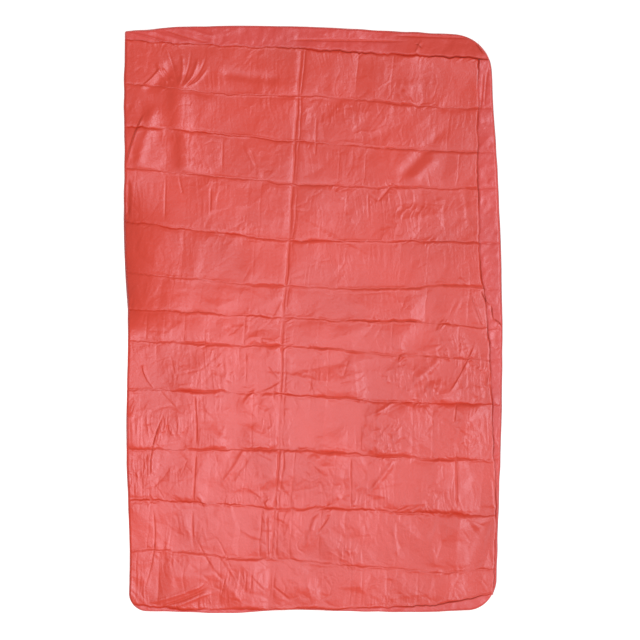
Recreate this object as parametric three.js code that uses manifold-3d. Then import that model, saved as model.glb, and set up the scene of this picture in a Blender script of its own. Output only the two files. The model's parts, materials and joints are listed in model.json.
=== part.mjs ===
// Camp quilt, laid flat and ready to fold: a face panel and a back panel of light nylon with a fill pad in
// each quilted channel, turned edge bands, and the sewn lines that hold them together.
// Millimetres. +X runs across the quilt, +Y towards its head, +Z up from the surface that it lies on.
// The origin is under the middle of the quilt.
import * as THREE from 'three';
import { mergeVertices } from 'three/addons/utils/BufferGeometryUtils.js';
import Module from 'manifold-3d';

const wasm = await Module();
wasm.setup();

// ---- Driving dimensions ------------------------------------------------------------------------------

const WIDTH = 1300; // side edge to side edge
const LENGTH = 2020; // head edge to foot edge
const CORNER_RADIUS = { headLeft: 6, headRight: 135, footRight: 100, footLeft: 60 };

const SHEET = 0.6; // one layer of fabric, thickened so that it is a solid
const CLEARANCE = 0.3; // between solids that touch on the real quilt
const LOFT = 10; // rise of the face panel above its stitched valleys

const HEAD_BAND_DEPTH = 70;
const FOOT_BAND_DEPTH = 24;
const SIDE_BAND_WIDTH = 48; // along the right side
const BAND_THICKNESS = 1.6; // two turned layers of fabric

const VALLEY_HALF_WIDTH = 3; // flat strip each side of a quilting row
const EDGE_FLAT = 12; // flat margin of the face panel along a side
const EDGE_RAMP = 50; // width over which the face panel rises from that margin
const PAD_INSET = 8; // from a flat strip to the edge of a fill pad

const CREST_POWER = 0.7; // how steeply a channel swells beside its rows
const RAMP_STATION = 0.45; // where a ramp has a station of its own, as a share of its width
const CHANNEL_RAMP = 0.8; // share of half a channel over which its ramp runs
const CORNER_STEPS = 12; // straight pieces in each rounded corner

const THREAD_WIDTH = 0.8;
const THREAD_HEIGHT = 0.6;
const SEAM_INSET = 3; // from the edge of a band to its seam
const LEFT_SEAM_INSET = 5; // from the left edge of the quilt to its seam
const FOLD_THREAD_OFFSET = 1.5; // a thread beside a fold line stays on one side of it

// Depths of the channels from head to foot, in proportion: they fill the length between the end bands.
const CHANNEL_DEPTHS = [175, 165, 138, 192, 165, 105, 108, 170, 186, 192, 180, 150];

// The quilt folds across three of its rows. Each row is counted from the head band's seam, which is row 0.
const SECTIONS = [
  { name: 'head', firstRow: 0, lastRow: 2 },
  { name: 'upper_middle', firstRow: 2, lastRow: 6 },
  { name: 'lower_middle', firstRow: 6, lastRow: 10 },
  { name: 'foot', firstRow: 10, lastRow: 12 },
];

// ---- Derived places ----------------------------------------------------------------------------------

const LEFT = -WIDTH / 2;
const RIGHT = WIDTH / 2;
const HEAD = LENGTH / 2;
const FOOT = -LENGTH / 2;
const SIDE_SEAM_X = RIGHT - SIDE_BAND_WIDTH;

const FACE_BASE = SHEET + CLEARANCE; // underside of the face panel in its valleys
const BAND_TOP = FACE_BASE + BAND_THICKNESS;
const LAST_ROW = CHANNEL_DEPTHS.length;

const rowY = rowPlaces();

function rowPlaces() {
  const total = CHANNEL_DEPTHS.reduce((sum, depth) => sum + depth, 0);
  const scale = (LENGTH - HEAD_BAND_DEPTH - FOOT_BAND_DEPTH) / total;
  const places = [HEAD - HEAD_BAND_DEPTH];
  for (const depth of CHANNEL_DEPTHS) places.push(places.at(-1) - depth * scale);
  return places;
}

const isFoldRow = (row) => SECTIONS.some((section) => section.firstRow === row && row > 0);

// The two ends of a section's panels, each half a clearance back from its fold line.
function panelSpan(section, headEnd, footEnd) {
  const top = section.firstRow === 0 ? headEnd : rowY[section.firstRow] - CLEARANCE / 2;
  const bottom = section.lastRow === LAST_ROW ? footEnd : rowY[section.lastRow] + CLEARANCE / 2;
  return { top, bottom };
}

// ---- Outline -----------------------------------------------------------------------------------------

// The quilt's outline, a rectangle with four corner radii, moved inwards by an inset.
function outlineShape(inset) {
  const [left, right, head, foot] = [LEFT + inset, RIGHT - inset, HEAD - inset, FOOT + inset];
  const radius = (name) => Math.max(CORNER_RADIUS[name] - inset, 0.5);
  const quarter = Math.PI / 2;
  const shape = new THREE.Shape();
  const arc = (name, x, y, start) => shape.absarc(x, y, radius(name), start, start + quarter, false);
  arc('headRight', right - radius('headRight'), head - radius('headRight'), 0);
  arc('headLeft', left + radius('headLeft'), head - radius('headLeft'), quarter);
  arc('footLeft', left + radius('footLeft'), foot + radius('footLeft'), 2 * quarter);
  arc('footRight', right - radius('footRight'), foot + radius('footRight'), 3 * quarter);
  shape.closePath();
  return shape;
}

// Distance from a point of the quilt to the nearest point of its outline.
function distanceToOutline(x, y) {
  const end = y > 0 ? 'head' : 'foot';
  const radius = CORNER_RADIUS[end + (x > 0 ? 'Right' : 'Left')];
  const across = Math.abs(x) - RIGHT + radius;
  const along = Math.abs(y) - HEAD + radius;
  return radius - Math.hypot(Math.max(across, 0), Math.max(along, 0)) - Math.min(Math.max(across, along), 0);
}

function prism(shape, bottom, top) {
  const depth = top - bottom;
  const options = { depth, bevelEnabled: false, curveSegments: CORNER_STEPS };
  return new THREE.ExtrudeGeometry(shape, options).translate(0, 0, bottom);
}

// ---- Joining and cutting -----------------------------------------------------------------------------

function toSolid(geometry) {
  const bare = geometry.clone();
  bare.deleteAttribute('normal');
  bare.deleteAttribute('uv');
  const merged = mergeVertices(bare, 1e-4);
  return new wasm.Manifold(
    new wasm.Mesh({
      numProp: 3,
      vertProperties: new Float32Array(merged.attributes.position.array),
      triVerts: new Uint32Array(merged.index.array),
    }),
  );
}

function toGeometry(solid) {
  const mesh = solid.getMesh();
  const geometry = new THREE.BufferGeometry();
  geometry.setAttribute('position', new THREE.BufferAttribute(mesh.vertProperties, 3));
  geometry.setIndex(new THREE.BufferAttribute(mesh.triVerts, 1));
  geometry.computeVertexNormals();
  return geometry;
}

// The part of a geometry that lies within the quilt's outline moved inwards by an inset.
function withinOutline(geometry, inset) {
  const cutter = prism(outlineShape(inset), -SHEET, LOFT + BAND_TOP + SHEET);
  return toGeometry(toSolid(geometry).intersect(toSolid(cutter)));
}

function slab(left, right, bottom, top, low, high) {
  const geometry = new THREE.BoxGeometry(right - left, top - bottom, high - low);
  return geometry.translate((left + right) / 2, (bottom + top) / 2, (low + high) / 2);
}

// ---- Lofted surfaces ---------------------------------------------------------------------------------

// Rises from 0 to 1 as a distance grows from 0 to a full width, steeply first, as a stuffed channel does.
function swell(distance, fullWidth) {
  const share = THREE.MathUtils.clamp(distance / fullWidth, 0, 1);
  return Math.sin((share * Math.PI) / 2) ** CREST_POWER;
}

// Height of the face panel above its valleys.
function faceRise(x, y) {
  const toRow = Math.min(...rowY.map((row) => Math.abs(y - row)));
  const row = rowY.findIndex((place) => place <= y);
  if (row < 1) return 0;
  const channelHalf = (rowY[row - 1] - rowY[row]) / 2;
  const toSide = Math.min(distanceToOutline(x, y), SIDE_SEAM_X - x);
  const across = swell(toSide - EDGE_FLAT, EDGE_RAMP);
  return LOFT * swell(toRow - VALLEY_HALF_WIDTH, channelHalf - VALLEY_HALF_WIDTH) * across;
}

// A closed solid between two height functions over a grid of stations. Both lists of stations increase.
function heightSolid(xs, ys, topHeight, bottomHeight) {
  const positions = [];
  const layers = [topHeight, bottomHeight];
  for (const height of layers) {
    for (const y of ys) {
      for (const x of xs) positions.push(x, y, height(x, y));
    }
  }
  const at = (layer, i, j) => (layer * ys.length + j) * xs.length + i;
  const triangles = [];
  const quad = (a, b, c, d) => triangles.push(a, b, c, a, c, d);
  for (let j = 0; j + 1 < ys.length; j += 1) {
    for (let i = 0; i + 1 < xs.length; i += 1) {
      quad(at(0, i, j), at(0, i + 1, j), at(0, i + 1, j + 1), at(0, i, j + 1));
      quad(at(1, i, j), at(1, i, j + 1), at(1, i + 1, j + 1), at(1, i + 1, j));
    }
  }
  const lastI = xs.length - 1;
  const lastJ = ys.length - 1;
  for (let i = 0; i < lastI; i += 1) {
    quad(at(1, i, 0), at(1, i + 1, 0), at(0, i + 1, 0), at(0, i, 0));
    quad(at(1, i + 1, lastJ), at(1, i, lastJ), at(0, i, lastJ), at(0, i + 1, lastJ));
  }
  for (let j = 0; j < lastJ; j += 1) {
    quad(at(1, 0, j + 1), at(1, 0, j), at(0, 0, j), at(0, 0, j + 1));
    quad(at(1, lastI, j), at(1, lastI, j + 1), at(0, lastI, j + 1), at(0, lastI, j));
  }
  const geometry = new THREE.BufferGeometry();
  geometry.setAttribute('position', new THREE.Float32BufferAttribute(positions, 3));
  geometry.setIndex(triangles);
  geometry.computeVertexNormals();
  return geometry;
}

// Stations between two ends, close together where the surface rises from each end. They include the edges of
// a fill pad, so that a panel and the pad under it share their stations.
function stations(low, high, flat, ramp) {
  const offsets = [0, flat, flat + PAD_INSET, flat + ramp * RAMP_STATION, flat + ramp];
  const middle = (low + high) / 2;
  const fromLow = offsets.map((offset) => low + offset).filter((place) => place < middle);
  const fromHigh = offsets.map((offset) => high - offset).filter((place) => place > middle);
  return [...new Set([...fromLow, middle, ...fromHigh])].sort((a, b) => a - b);
}

const acrossStations = () => stations(LEFT, SIDE_SEAM_X, EDGE_FLAT, EDGE_RAMP);

// Stations along the channel that ends at a row.
function channelStations(row) {
  const half = (rowY[row - 1] - rowY[row]) / 2;
  return stations(rowY[row], rowY[row - 1], VALLEY_HALF_WIDTH, (half - VALLEY_HALF_WIDTH) * CHANNEL_RAMP);
}

// Stations along one section, channel by channel, from its foot end to its head end.
function sectionStations(section) {
  const { top, bottom } = panelSpan(section, rowY[0], rowY[LAST_ROW]);
  const places = [];
  for (let row = section.lastRow; row > section.firstRow; row -= 1) places.push(...channelStations(row));
  const inside = places.filter((place) => place > bottom && place < top);
  return [bottom, ...new Set(inside), top];
}

// The stations that lie on a pad with the given inset from both ends of its channel.
function padStations(places, inset) {
  const rounding = 1e-6;
  const [low, high] = [places[0] + inset - rounding, places.at(-1) - inset + rounding];
  return places.filter((place) => place > low && place < high);
}

// ---- Materials ---------------------------------------------------------------------------------------

function fabric(name, color, roughness) {
  return new THREE.MeshStandardMaterial({ name, color, roughness, metalness: 0 });
}

const materials = {
  face: () => fabric('face_fabric', 0xdd6663, 0.42),
  back: () => fabric('back_fabric', 0xb98488, 0.5),
  band: () => fabric('band_fabric', 0xe17371, 0.42),
  fill: () => fabric('fill', 0xf2efe9, 0.95),
  thread: () => fabric('thread', 0xc8504a, 0.6),
};

// ---- Pieces ------------------------------------------------------------------------------------------

const quilt = new THREE.Group();

function addPiece(name, geometry, material) {
  const mesh = new THREE.Mesh(geometry, material);
  mesh.name = name;
  quilt.add(mesh);
}

function facePanel(section) {
  const top = (x, y) => FACE_BASE + SHEET + faceRise(x, y);
  const bottom = (x, y) => FACE_BASE + faceRise(x, y);
  return withinOutline(heightSolid(acrossStations(), sectionStations(section), top, bottom), 0);
}

function backPanel(section) {
  const { top, bottom } = panelSpan(section, HEAD, FOOT);
  return withinOutline(slab(LEFT, RIGHT, bottom, top, 0, SHEET), 0);
}

// The pad between two rows, under the face panel and on the back panel.
function fillPad(row) {
  const xs = padStations(acrossStations(), EDGE_FLAT + PAD_INSET);
  const ys = padStations(channelStations(row), VALLEY_HALF_WIDTH + PAD_INSET);
  const top = (x, y) => FACE_BASE + faceRise(x, y) - CLEARANCE;
  return withinOutline(heightSolid(xs, ys, top, () => FACE_BASE), EDGE_FLAT + PAD_INSET);
}

function sideBand(section) {
  const { top, bottom } = panelSpan(section, rowY[0], rowY[LAST_ROW]);
  return withinOutline(slab(SIDE_SEAM_X + CLEARANCE, RIGHT, bottom, top, FACE_BASE, BAND_TOP), 0);
}

// A band across the whole width between two places along the quilt.
function endBand(bottom, top) {
  return withinOutline(slab(LEFT, RIGHT, bottom, top, FACE_BASE, BAND_TOP), 0);
}

// A straight sewn line across the quilt, lying on a surface at the given height.
function crossThread(y, surface) {
  const low = surface + CLEARANCE;
  const line = slab(LEFT, SIDE_SEAM_X, y - THREAD_WIDTH / 2, y + THREAD_WIDTH / 2, low, low + THREAD_HEIGHT);
  return withinOutline(line, EDGE_FLAT);
}

const faceSurface = FACE_BASE + SHEET;

function quiltingThread(row) {
  return crossThread(rowY[row] + (isFoldRow(row) ? FOLD_THREAD_OFFSET : 0), faceSurface);
}

function sideSeam(section) {
  const { top, bottom } = panelSpan(section, rowY[0], rowY[LAST_ROW]);
  const x = SIDE_SEAM_X + CLEARANCE + SEAM_INSET;
  const low = BAND_TOP + CLEARANCE;
  return slab(x - THREAD_WIDTH / 2, x + THREAD_WIDTH / 2, bottom, top, low, low + THREAD_HEIGHT);
}

// The sewn line just inside the left edge, which follows the foot corner round.
function leftSeam(section) {
  const { top, bottom } = panelSpan(section, rowY[0], rowY[LAST_ROW]);
  const low = faceSurface + CLEARANCE;
  const ring = outlineShape(LEFT_SEAM_INSET);
  ring.holes.push(outlineShape(LEFT_SEAM_INSET + THREAD_WIDTH));
  const stretch = slab(LEFT, 0, bottom, top, low, low + THREAD_HEIGHT);
  return toGeometry(toSolid(prism(ring, low, low + THREAD_HEIGHT)).intersect(toSolid(stretch)));
}

for (const section of SECTIONS) {
  addPiece(`face_panel_${section.name}`, facePanel(section), materials.face());
  addPiece(`back_panel_${section.name}`, backPanel(section), materials.back());
  addPiece(`side_band_${section.name}`, sideBand(section), materials.band());
  addPiece(`side_seam_${section.name}`, sideSeam(section), materials.thread());
  addPiece(`left_seam_${section.name}`, leftSeam(section), materials.thread());
}

for (let row = 1; row <= LAST_ROW; row += 1) {
  const number = String(row).padStart(2, '0');
  addPiece(`fill_pad_${number}`, fillPad(row), materials.fill());
  if (row < LAST_ROW) addPiece(`quilting_row_${number}`, quiltingThread(row), materials.thread());
}

const headBandEdge = rowY[0] + CLEARANCE;
const footBandEdge = rowY[LAST_ROW] - CLEARANCE;
addPiece('head_band', endBand(headBandEdge, HEAD), materials.band());
addPiece('foot_band', endBand(FOOT, footBandEdge), materials.band());
addPiece('head_band_seam', crossThread(headBandEdge + SEAM_INSET, BAND_TOP), materials.thread());
addPiece('foot_band_seam', crossThread(footBandEdge - SEAM_INSET, BAND_TOP), materials.thread());

export default quilt;
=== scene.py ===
"""A light camp quilt laid flat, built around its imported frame.

The frame gives the outline, the quilting rows, the side seam and the fold hinges. The classes below lay real
cloth over them: the face and back panels, the turned bands, the fill pads and the stitching.
Lengths inside the classes are millimetres, and meshes are made in metres.
"""

from __future__ import annotations

import json
import logging
import math
from dataclasses import dataclass
from enum import Enum
from typing import ClassVar

import bpy
import numpy as np
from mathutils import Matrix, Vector
from mathutils.geometry import delaunay_2d_cdt

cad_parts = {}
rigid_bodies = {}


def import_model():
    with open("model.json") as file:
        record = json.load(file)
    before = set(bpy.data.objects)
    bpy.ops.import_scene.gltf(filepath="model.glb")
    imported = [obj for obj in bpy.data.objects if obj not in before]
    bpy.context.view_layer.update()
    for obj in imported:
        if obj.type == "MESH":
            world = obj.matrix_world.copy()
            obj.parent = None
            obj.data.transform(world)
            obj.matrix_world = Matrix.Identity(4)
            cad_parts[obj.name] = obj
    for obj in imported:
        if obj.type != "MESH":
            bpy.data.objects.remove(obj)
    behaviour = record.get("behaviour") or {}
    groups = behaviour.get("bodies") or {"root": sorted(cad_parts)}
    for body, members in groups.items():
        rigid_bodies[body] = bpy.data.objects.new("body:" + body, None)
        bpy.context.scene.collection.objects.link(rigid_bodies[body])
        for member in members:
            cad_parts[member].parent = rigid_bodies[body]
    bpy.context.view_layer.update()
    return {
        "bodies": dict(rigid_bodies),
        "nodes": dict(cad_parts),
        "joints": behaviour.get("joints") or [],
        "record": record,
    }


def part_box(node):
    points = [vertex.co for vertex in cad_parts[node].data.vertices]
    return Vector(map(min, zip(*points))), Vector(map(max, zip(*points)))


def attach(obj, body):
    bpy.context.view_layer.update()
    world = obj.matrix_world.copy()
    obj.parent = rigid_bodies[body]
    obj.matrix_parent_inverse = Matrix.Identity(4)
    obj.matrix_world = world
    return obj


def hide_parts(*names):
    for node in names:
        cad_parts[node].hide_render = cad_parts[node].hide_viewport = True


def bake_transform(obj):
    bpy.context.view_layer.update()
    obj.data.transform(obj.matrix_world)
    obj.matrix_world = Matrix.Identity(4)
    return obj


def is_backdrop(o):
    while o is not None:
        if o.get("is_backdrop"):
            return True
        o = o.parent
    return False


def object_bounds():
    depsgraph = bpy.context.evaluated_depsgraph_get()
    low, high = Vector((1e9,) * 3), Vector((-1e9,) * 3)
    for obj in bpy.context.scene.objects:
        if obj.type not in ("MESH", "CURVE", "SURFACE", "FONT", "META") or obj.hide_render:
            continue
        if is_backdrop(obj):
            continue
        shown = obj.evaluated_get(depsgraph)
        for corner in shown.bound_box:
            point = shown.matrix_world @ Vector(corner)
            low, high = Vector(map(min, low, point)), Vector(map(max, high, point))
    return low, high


log = logging.getLogger("camp_quilt")

MM = 0.001

UV_NAME = "flat"
UV_SPAN = 2.2
# Name of the point attribute that holds the painted shade in creases, beside seams and along cord lines.
PAINTED_SHADE_ATTRIBUTE = "painted_shade_share"
BILLOW = "billow"
END_FADE = 0.22
SLIT_FADE = 0.3
SLIT_WIDTH = 1.5
SLIT_SHADE = 2
# Colour of the painted shadow in a cord's closed fold line.
SLIT_SHADOW_COLOUR = (0.18, 0.006, 0.003, 1)
SKIRT_HEIGHT = 0.3
STITCH_SIZES = {"Pitch": 0.0046, "Length": 0.0034, "Thickness": 0.0007}
CLOUD_SCALE = 9.0
MOTTLE_SCALE = 420.0
CRUSH_SCALE = 95.0


# ---- Lines and noise ---------------------------------------------------------------------------------


def through(values: tuple[float, ...], share: np.ndarray) -> np.ndarray:
    """Smooth curve through evenly spaced values.

    Args:
        values: What the curve passes through, from share 0 to share 1.
        share: Where to read it, clipped to the ends.

    Returns:
        The curve's value at each share.
    """
    v = np.asarray(values, float)
    last = len(v) - 1
    at = np.clip(np.asarray(share, float), 0, 1) * last
    i = np.minimum(at.astype(int), last - 1)
    t = at - i
    before, after = v[np.maximum(i - 1, 0)], v[np.minimum(i + 2, last)]
    a, b = v[i], v[i + 1]
    slope_a, slope_b = (b - before) / 2, (after - a) / 2
    t2, t3 = t * t, t * t * t
    from_first = (2 * t3 - 3 * t2 + 1) * a + (t3 - 2 * t2 + t) * slope_a
    return from_first + (3 * t2 - 2 * t3) * b + (t3 - t2) * slope_b


def rise(distance: np.ndarray, width: float) -> np.ndarray:
    """Smooth step from 0 at distance 0 to 1 at the given width."""
    t = np.clip(distance / width, 0, 1)
    return t * t * (3 - 2 * t)


class SmoothNoise:
    """Seeded value noise with rounded hills, from -1 to 1."""

    SIZE = 128

    def __init__(self, seed: int) -> None:
        """Draws the lattice of values.

        Args:
            seed: Fixes the pattern.
        """
        self.table = np.random.default_rng(seed).uniform(-1, 1, (self.SIZE, self.SIZE))

    def at(self, x: np.ndarray, y: np.ndarray) -> np.ndarray:
        """Noise at points measured in lattice cells.

        Args:
            x: First coordinate, in cells.
            y: Second coordinate, in cells.

        Returns:
            The value at each point.
        """
        i, j = np.floor(x).astype(int), np.floor(y).astype(int)
        u, v = x - i, y - j
        u, v = u * u * (3 - 2 * u), v * v * (3 - 2 * v)
        i0, i1, j0, j1 = i % self.SIZE, (i + 1) % self.SIZE, j % self.SIZE, (j + 1) % self.SIZE
        t = self.table
        low = t[i0, j0] * (1 - u) + t[i1, j0] * u
        high = t[i0, j1] * (1 - u) + t[i1, j1] * u
        return low * (1 - v) + high * v


class CreaseNet:
    """Flat facets that meet in straight creases, as crumpled coated cloth has, from about -1 to 1."""

    STEP = 1.8
    SCATTER = 0.48
    THINNEST = 1e-6
    SLACK = 1e-9

    def __init__(self, seed: int, half_width: float, half_length: float, cell: tuple[float, float]) -> None:
        """Scatters the facets' corners and fills in the planes between them.

        Args:
            seed: Fixes the pattern.
            half_width: Half the width that it covers.
            half_length: Half the length that it covers.
            cell: Mean facet size across and along.
        """
        rng = np.random.default_rng(seed)
        self.low = np.array([-half_width, -half_length])
        nx, ny = (int(2 * half / size) + 2 for half, size in zip((half_width, half_length), cell))
        gx, gy = np.meshgrid(np.arange(nx) - 0.5, np.arange(ny) - 0.5, indexing="ij")
        jitter = rng.uniform(-self.SCATTER, self.SCATTER, (2, nx, ny))
        corners = np.stack([(gx + jitter[0]) * cell[0], (gy + jitter[1]) * cell[1]], -1).reshape(-1, 2)
        heights = rng.uniform(-1, 1, len(corners))
        shape = (int(2 * half_width / self.STEP) + 2, int(2 * half_length / self.STEP) + 2)
        self.grid = np.zeros(shape)
        found = delaunay_2d_cdt([Vector(c) for c in corners], [], [], 0, 1e-4)
        points = np.array(found[0])
        heights = heights[[source[0] for source in found[3]]]
        for triangle in found[2]:
            self._fill(points[triangle] / self.STEP, heights[triangle])

    def _fill(self, corners: np.ndarray, heights: np.ndarray) -> None:
        """Writes one facet's plane into the grid.

        Args:
            corners: The facet's three corners, in grid cells.
            heights: The height at each corner.
        """
        low = np.maximum(np.ceil(corners.min(0)).astype(int), 0)
        high = np.minimum(np.floor(corners.max(0)).astype(int) + 1, self.grid.shape)
        if (high <= low).any():
            return
        x, y = np.meshgrid(np.arange(low[0], high[0]), np.arange(low[1], high[1]), indexing="ij")
        (ax, ay), (bx, by), (cx, cy) = corners
        area = (bx - ax) * (cy - ay) - (cx - ax) * (by - ay)
        if abs(area) < self.THINNEST:
            return
        wb = ((x - ax) * (cy - ay) - (cx - ax) * (y - ay)) / area
        wc = ((bx - ax) * (y - ay) - (x - ax) * (by - ay)) / area
        inside = (wb >= -self.SLACK) & (wc >= -self.SLACK) & (wb + wc <= 1 + self.SLACK)
        plane = heights[0] + wb * (heights[1] - heights[0]) + wc * (heights[2] - heights[0])
        patch = self.grid[low[0] : high[0], low[1] : high[1]]
        patch[inside] = plane[inside]

    def at(self, x: np.ndarray, y: np.ndarray) -> np.ndarray:
        """Height of the facets at points of the quilt.

        Args:
            x: Places across the quilt.
            y: Places along the quilt.

        Returns:
            The height at each point.
        """
        gx = np.clip((x - self.low[0]) / self.STEP, 0, self.grid.shape[0] - 1.001)
        gy = np.clip((y - self.low[1]) / self.STEP, 0, self.grid.shape[1] - 1.001)
        i, j = gx.astype(int), gy.astype(int)
        u, v = gx - i, gy - j
        g = self.grid
        low = g[i, j] * (1 - u) + g[i + 1, j] * u
        high = g[i, j + 1] * (1 - u) + g[i + 1, j + 1] * u
        return low * (1 - v) + high * v


# ---- Plan of the laid quilt --------------------------------------------------------------------------


class Plan:
    """Where the quilt's edges, rows and seams lie, worked out from the frame.

    Each row and edge of the frame is straight. The cloth wanders from it by the offsets below, which are
    evenly spaced from left to right, or from foot to head.
    """

    ROW_WANDER = (
        (18, 8, 0, -10, -20, -30, -38, -48),
        (46, 28, 8, 6, -4, -22, -38, -40),
        (62, 52, 32, 14, 0, -14, -22, -24),
        (56, 42, 24, 6, -4, -10, -12, -10),
        (66, 44, 22, 2, -2, 0, 0, -6),
        (54, 38, 18, 10, 0, 2, 10, 0),
        (32, 26, 16, 4, -4, -8, -16, -32),
        (34, 28, 20, 16, 6, -14, -24, -32),
        (36, 32, 26, 20, 6, -6, -12, -16),
        (18, 16, 18, 18, 6, -6, -16, -22),
        (38, 32, 18, 4, 6, -2, -12, -16),
        (40, 40, 16, 10, -8, -20, -34, -20),
        (8, -8, -12, -8, -6, -2, 12, 50),
    )
    LEFT_WANDER = (17, 19, 13, 8, 11, 14, 3, 0, 2, 0, 3)
    RIGHT_WANDER = (-22, -17, -11, -5, 0, 0, -3, -11, -20, -33, -36)
    HEAD_WANDER = (-18, -4, 0, -2, -7, -17, -26, -34)
    FOOT_WANDER = (8, 4, 0, 11, 7, 4, 6, 14)
    SEAM_WANDER = (14, 24, 26, 16, 10, -4, -28, -32, -36, -34, -36)
    LONG_CREASE = (-151, -144, -134, -120, -114, -107, -104, -88, -79, -68, -58, -46, -37)
    CORNERS = {"head_right": 132, "head_left": 6, "foot_left": 60, "foot_right": 100}
    ARC_STEPS = 24
    SIDE_STEPS = 400
    ROW_JITTER = ((3.0, 64, 31.7, 3.3), (2.6, 27, 71.7, 5.1), (1.6, 11, 17.7, 7.9))
    SEAM_JITTER = ((2.4, 47, 57.0), (1.4, 15, 51.0))
    CREASE_JITTER = ((1.6, 55, 91.0), (0.8, 17, 97.0))

    def __init__(self, frame: dict) -> None:
        """Reads the sizes and the fold hinges from the frame.
        """
        low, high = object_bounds()
        self.left, self.right = low.x / MM, high.x / MM
        self.foot, self.head = low.y / MM, high.y / MM
        self.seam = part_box("face_panel_upper_middle")[1].x / MM
        pads = [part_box(f"fill_pad_{number:02d}") for number in range(1, 13)]
        between = [(pads[i][0].y + pads[i + 1][1].y) / 2 / MM for i in range(11)]
        self.rows = [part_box("head_band")[0].y / MM, *between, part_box("foot_band")[1].y / MM]
        self.joints = {joint["name"]: joint for joint in frame["joints"]}
        self.wobble = SmoothNoise(11)
        self.outline = self._outline()

    def across(self, x: np.ndarray) -> np.ndarray:
        """Share of the width at x, from 0 at the left edge."""
        return (x - self.left) / (self.right - self.left)

    def along(self, y: np.ndarray) -> np.ndarray:
        """Share of the length at y, from 0 at the foot edge."""
        return (y - self.foot) / (self.head - self.foot)

    def row(self, number: int, x: np.ndarray) -> np.ndarray:
        """Where a quilting row lies.

        Args:
            number: 0 at the head band's seam, 12 at the foot band's.
            x: Places across the quilt.

        Returns:
            The row's place along the quilt at each x.
        """
        jitter = sum(
            size * self.wobble.at(x / length + start, np.full_like(x, number * lane))
            for size, length, start, lane in self.ROW_JITTER
        )
        return self.rows[number] + through(self.ROW_WANDER[number], self.across(x)) + jitter

    def side_seam(self, y: np.ndarray) -> np.ndarray:
        """Where the seam of the side band lies at each y."""
        return self.seam + through(self.SEAM_WANDER, self.along(y)) + self.jitter(self.SEAM_JITTER, y)

    def long_crease(self, y: np.ndarray) -> np.ndarray:
        """Where the long packing crease lies at each y."""
        return through(self.LONG_CREASE, self.along(y)) + self.jitter(self.CREASE_JITTER, y)

    def jitter(self, waves: tuple[tuple[float, float, float], ...], y: np.ndarray) -> np.ndarray:
        """Small wandering of a long line.

        Args:
            waves: The size, the length and the lane in the noise of each wave.
            y: Places along the quilt.

        Returns:
            How far the line is pushed to the right at each y.
        """
        return sum(size * self.wobble.at(y / length, np.full_like(y, lane)) for size, length, lane in waves)

    def _outline(self) -> dict[str, np.ndarray]:
        """The laid quilt's outline as four runs of points, one for each side, corners included.

        Returns:
            The runs of points by the side's name.
        """

        def arc(name: str, quarter: int) -> np.ndarray:
            """One rounded corner, which starts a number of quarter turns from the right.

            Args:
                name: The corner.
                quarter: How many quarter turns from the right it starts.

            Returns:
                The corner's points.
            """
            start = quarter * math.pi / 2
            angle = np.linspace(start, start + math.pi / 2, self.ARC_STEPS)
            r = self.CORNERS[name]
            cx = self.right - r if name.endswith("right") else self.left + r
            cy = self.head - r if name.startswith("head") else self.foot + r
            return np.stack([cx + r * np.cos(angle), cy + r * np.sin(angle)], -1)

        arcs = {name: arc(name, quarter) for quarter, name in enumerate(self.CORNERS)}

        def run(first: str, second: str) -> np.ndarray:
            """Two corners and the side between them.

            Args:
                first: The corner at the start.
                second: The corner at the end.

            Returns:
                The run's points.
            """
            a, b = arcs[first], arcs[second]
            straight = a[-1] + np.linspace(0, 1, self.SIDE_STEPS)[1:-1, None] * (b[0] - a[-1])
            return self._laid(np.concatenate([a, straight, b]))

        return {
            "head": run("head_right", "head_left")[::-1],
            "left": run("head_left", "foot_left")[::-1],
            "foot": run("foot_left", "foot_right"),
            "right": run("foot_right", "head_right"),
        }

    def _laid(self, points: np.ndarray) -> np.ndarray:
        """Moves points of the straight outline to where the cloth lies.

        Args:
            points: Points of the straight outline.

        Returns:
            The points where the cloth lies.
        """
        x, y = points.T
        u, v = self.across(x), self.along(y)
        dx = (1 - u) * through(self.LEFT_WANDER, v) + u * through(self.RIGHT_WANDER, v)
        dy = (1 - v) * through(self.FOOT_WANDER, u) + v * through(self.HEAD_WANDER, u)
        dx = dx + 1.3 * self.wobble.at(x / 50 + 5.3, y / 50 + 9.1)
        dy = dy + 1.3 * self.wobble.at(x / 50 + 77.3, y / 50 + 41.9)
        return np.stack([x + dx, y + dy], -1)

    def left_edge(self, y: np.ndarray) -> np.ndarray:
        """The left edge's place across the quilt at each y."""
        run = self.outline["left"]
        return np.interp(y, run[:, 1], run[:, 0])

    def right_edge(self, y: np.ndarray) -> np.ndarray:
        """The right edge's place across the quilt at each y."""
        run = self.outline["right"]
        return np.interp(y, run[:, 1], run[:, 0])


# ---- Folds and relief --------------------------------------------------------------------------------


class Shape(Enum):
    """How the cloth runs across a fold."""

    RIDGE = "ridge"
    GROOVE = "groove"
    TUCK = "tuck"
    LINE = "line"
    CORD = "cord"


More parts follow.
